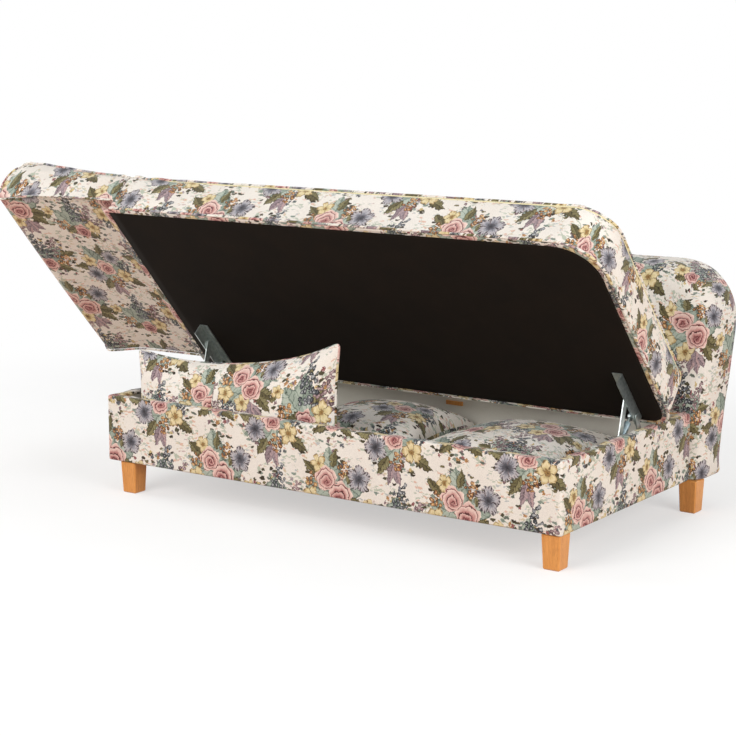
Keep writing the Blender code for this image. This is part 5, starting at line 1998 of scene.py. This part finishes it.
@dataclass(kw_only=True)
class LongCushion(Cushion):
    """The long cushion that stands at the front left, of two panels sewn together."""

    width: float = 0.744
    tall: float = 0.325
    thickness: float = 0.132
    lower: float = 0.294
    higher: float = 0.385
    dip: float = 0.13
    lean: float = 0.005
    middle: float = -1.0965
    front: float = 0.0894
    board: float = 0.0306
    sewn: float = -0.045
    sewn_depth: float = 0.16
    sewn_width: float = 0.010
    sewn_clear: float = 0.026
    pitch: Pair = (0.022, 0.018)
    weave: Pair = (0.02, 0.31)
    panel_weave: Pair = (0.145, 0.06)
    held: float = 0.012
    swell: float = 0.010
    pressure: float = 4.0
    slack: float = 0.04
    pressed: float = 0.42

    def form(self, point: Vector) -> Vector:
        """Stand the cushion up, higher at its right end and dipped between its corners.

        Args:
            point: A point of the flat cushion.

        Returns:
            Where it goes in the box.
        """
        bent = point.copy()
        for way in (-1, 1):
            bent = round_corner(bent, (0, 1), (way * self.width / 2, self.tall / 2), (way, 1), self.corner)
        u, v = 2 * bent.x / self.width, 2 * bent.y / self.tall
        rise = (v + 1) / 2
        corner_height = self.lower + (self.higher - self.lower) * (u + 1) / 2
        height = corner_height * rise * (1 - self.dip * (1 - u * u) * rise)
        full = self.full(2 * point.x / self.width, 2 * point.y / self.tall)
        full *= 1 - self.sewn_depth * math.exp(-((point.x - self.sewn) / self.sewn_width) ** 2)
        return Vector((self.middle + u * self.width / 2 * (1 - self.pull / 2 * (1 - v * v)),
                       self.front - self.side(point) * full + self.lean * rise,
                       self.floor + self.clearance + height))

    def panel(self, place: Vector) -> Pair:
        """Shift the weave of the panel left of the middle seam."""
        return self.panel_weave if place.x < self.sewn else (0.0, 0.0)

    def build(self, setting: Setting, stock: Stock) -> list[Piece]:
        """Build the cushion, flat on the floor and against the front board.

        Args:
            setting: Where it goes.
            stock: The finishes.

        Returns:
            The pieces.
        """
        # Closer lines follow the middle seam, in place of the even ones near it.
        near = [self.sewn + d for d in (-0.018, -0.009, -0.004, 0.0, 0.004, 0.009, 0.018)]
        across = [x for x in spread(-self.width / 2, self.width / 2, self.pitch[0])
                  if abs(x - self.sewn) > self.sewn_clear]
        block = Block((sorted(across + near), spread(-self.tall / 2, self.tall / 2, self.pitch[1]),
                       [-self.seam, 0.0, self.seam]), self.weave)
        cushion = block.build("long_cushion", self.form, self.panel)
        held = np.nonzero(coordinates(cushion)[:, 2] < self.floor + self.held)[0]
        inflate(cushion, held, self.swell, self.pressure, self.slack, self.frames)
        points = coordinates(cushion)
        points[:, 2] = np.maximum(points[:, 2], self.floor + self.clearance)
        points[:, 1] = np.maximum(points[:, 1], self.board)
        reshape(cushion, points)
        smooth(cushion)
        settle(cushion, setting.fixed(), "base", stock.floral, ["cushion_long"], self.fill)
        anchor = setting.fixed() @ Vector((self.middle, self.front, self.floor))
        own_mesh(cushion)
        return [cushion]


# Studio

@dataclass(frozen=True)
class SoftBox:
    """A square soft box: its place, its aim, its side in metres and its power in watts."""

    name: str
    place: Point
    aim: Point
    side: float
    power: float

    def hang(self) -> None:
        """Hang the soft box and turn it to its aim."""
        lamp = bpy.data.lights.new(self.name, "AREA")
        lamp.size = self.side
        lamp.energy = self.power
        item = bpy.data.objects.new(self.name, lamp)
        item.location = self.place
        item.rotation_euler = (Vector(self.aim) - Vector(self.place)).to_track_quat("-Z", "Y").to_euler()
        bpy.context.scene.collection.objects.link(item)


SOFT_BOXES = (SoftBox("key", (-0.6, -4.6, 2.8), (0.0, 0.0, 0.4), 3.2, 180.0),
              SoftBox("fill", (4.4, -1.4, 1.6), (0.3, 0.0, 0.4), 2.6, 140.0),
              SoftBox("side", (-4.4, -1.0, 1.2), (-0.4, 0.0, 0.5), 2.2, 90.0),
              SoftBox("top", (-0.4, 1.2, 3.8), (-0.2, 0.0, 0.5), 3.0, 24.0),
              SoftBox("rear", (0.8, 4.6, 2.2), (0.0, 0.3, 0.5), 3.2, 60.0))


@dataclass
class Studio:
    """The white studio: a pale floor that keeps the shadow, soft boxes, and the camera."""

    ambient: float = 0.26
    bounce: str = "#b89a84"
    floor_pale: Stops = ((0.3, "#f8f8f7"), (0.7, "#fbfbfa"))
    floor_mottle: float = 333.0
    floor_white: float = 0.5
    floor_near: float = 1.5
    floor_far: float = 2.8
    floor_reach: float = 9.0
    camera_place: Point = (2.2330, -4.0440, 1.356)
    camera_azimuth: float = 34.83
    camera_elevation: float = 10.33
    focal_pixels: float = 1922.8
    sensor: float = 36.0
    clip_end: float = 100.0

    def world(self) -> None:
        """Light the room evenly, and show it as white."""
        scene = bpy.context.scene
        scene.world = bpy.data.worlds.new("studio")
        tree = bare_tree(scene.world)
        ray = add(tree, "LightPath").outputs
        seen = formula(tree, "maximum(maximum(camera, glossy), through)", camera=ray["Is Camera Ray"],
                       glossy=ray["Is Glossy Ray"], through=ray["Is Transmission Ray"])
        strength = formula(tree, f"{self.ambient} + {1 - self.ambient} * seen", seen=seen)
        add(tree, "OutputWorld", add(tree, "Background", WHITE, strength))
        scene.view_settings.view_transform = "Standard"

    def floor(self) -> None:
        """Lay a pale matt floor that fades to white away from the object."""
        material = bpy.data.materials.new("pale_studio_floor")
        tree = bare_tree(material)
        spot = add(tree, "TexCoord").outputs["Object"]
        far = add(tree, "VectorMath", spot, operation="LENGTH")
        fade = add(tree, "MapRange", far, self.floor_near, self.floor_far, self.floor_white, 1.0,
                   interpolation_type="SMOOTHSTEP")
        ray = add(tree, "LightPath").outputs
        seen = formula(tree, "fade * maximum(camera, glossy)", fade=fade, camera=ray["Is Camera Ray"],
                       glossy=ray["Is Glossy Ray"])
        mottle = add(tree, "TexNoise", spot, scale_of(self.floor_mottle, METRE), 2.0)
        colour = add(tree, "ValToRGB", mottle, stops=self.floor_pale)
        matt = add(tree, "BsdfPrincipled", named={"Base Color": colour, "Roughness": 0.9})
        # A dimmer bounce leaves the undersides in shade, as on a wide studio floor lit mostly at the object.
        dim = add(tree, "BsdfDiffuse", linear(self.bounce))
        lit = add(tree, "MixShader", ray["Is Diffuse Ray"], matt, dim)
        glow = add(tree, "Emission", WHITE, 1.0)
        add(tree, "OutputMaterial", add(tree, "MixShader", seen, lit, glow))
        square = [(0, 0), (1, 0), (1, 1), (0, 1)]
        corners = [((2 * u - 1) * self.floor_reach, (2 * v - 1) * self.floor_reach, 0.0) for u, v in square]
        floor = mesh_object("studio_floor", corners, [[0, 1, 2, 3]], square)
        floor.data.materials.append(material)

    def camera(self, corner: Vector) -> None:
        """Set the camera at the photograph's place.

        Args:
            corner: The box's front right corner, which the place is measured from.
        """
        lens = bpy.data.cameras.new("camera")
        lens.sensor_width = self.sensor
        lens.lens = self.focal_pixels * self.sensor / IMAGE_SIDE
        lens.clip_end = self.clip_end
        item = bpy.data.objects.new("camera", lens)
        item.location = corner + Vector(self.camera_place)
        tilt, azimuth = math.radians(90 - self.camera_elevation), math.radians(self.camera_azimuth)
        item.rotation_euler = (tilt, 0.0, azimuth)
        bpy.context.scene.collection.objects.link(item)
        bpy.context.scene.camera = item

    def build(self, corner: Vector) -> None:
        """Set up the whole studio.

        Args:
            corner: The box's front right corner, on the floor.
        """
        self.world()
        self.floor()
        for soft_box in SOFT_BOXES:
            soft_box.hang()
        self.camera(corner)


def main() -> None:
    """Build the object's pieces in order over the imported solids, and the studio round them."""
    logging.basicConfig(level=logging.INFO, format="%(name)s: %(message)s")
    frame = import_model()
    low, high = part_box("box_cover")
    setting = Setting(Vector((high.x, low.y, 0.0)))
    Studio().build(setting.corner)
    stock = Stock()
    for node, item in frame["nodes"].items():
        item.data.materials.clear()
        item.data.materials.append(stock.for_node(node))
    rear = SquareCushion(name="rear_cushion", node="cushion_rear", size=0.41, middle=(-0.845, 0.45), turn=6.0,
                         weave=(0.21, 0.1))
    front = SquareCushion(name="front_cushion", node="cushion_front", size=0.485, middle=(-0.350, 0.415),
                          turn=-5.0, weave=(0.02, 0.3))
    for assembly in (StorageBox(), Backrest(), SeatLid(), HeadSection(), rear, front, LongCushion()):
        pieces = assembly.build(setting, stock)
        LOG.info("%s: %s", type(assembly).__name__, ", ".join(p.name for p in pieces))


if __name__ == "__main__":
    main()
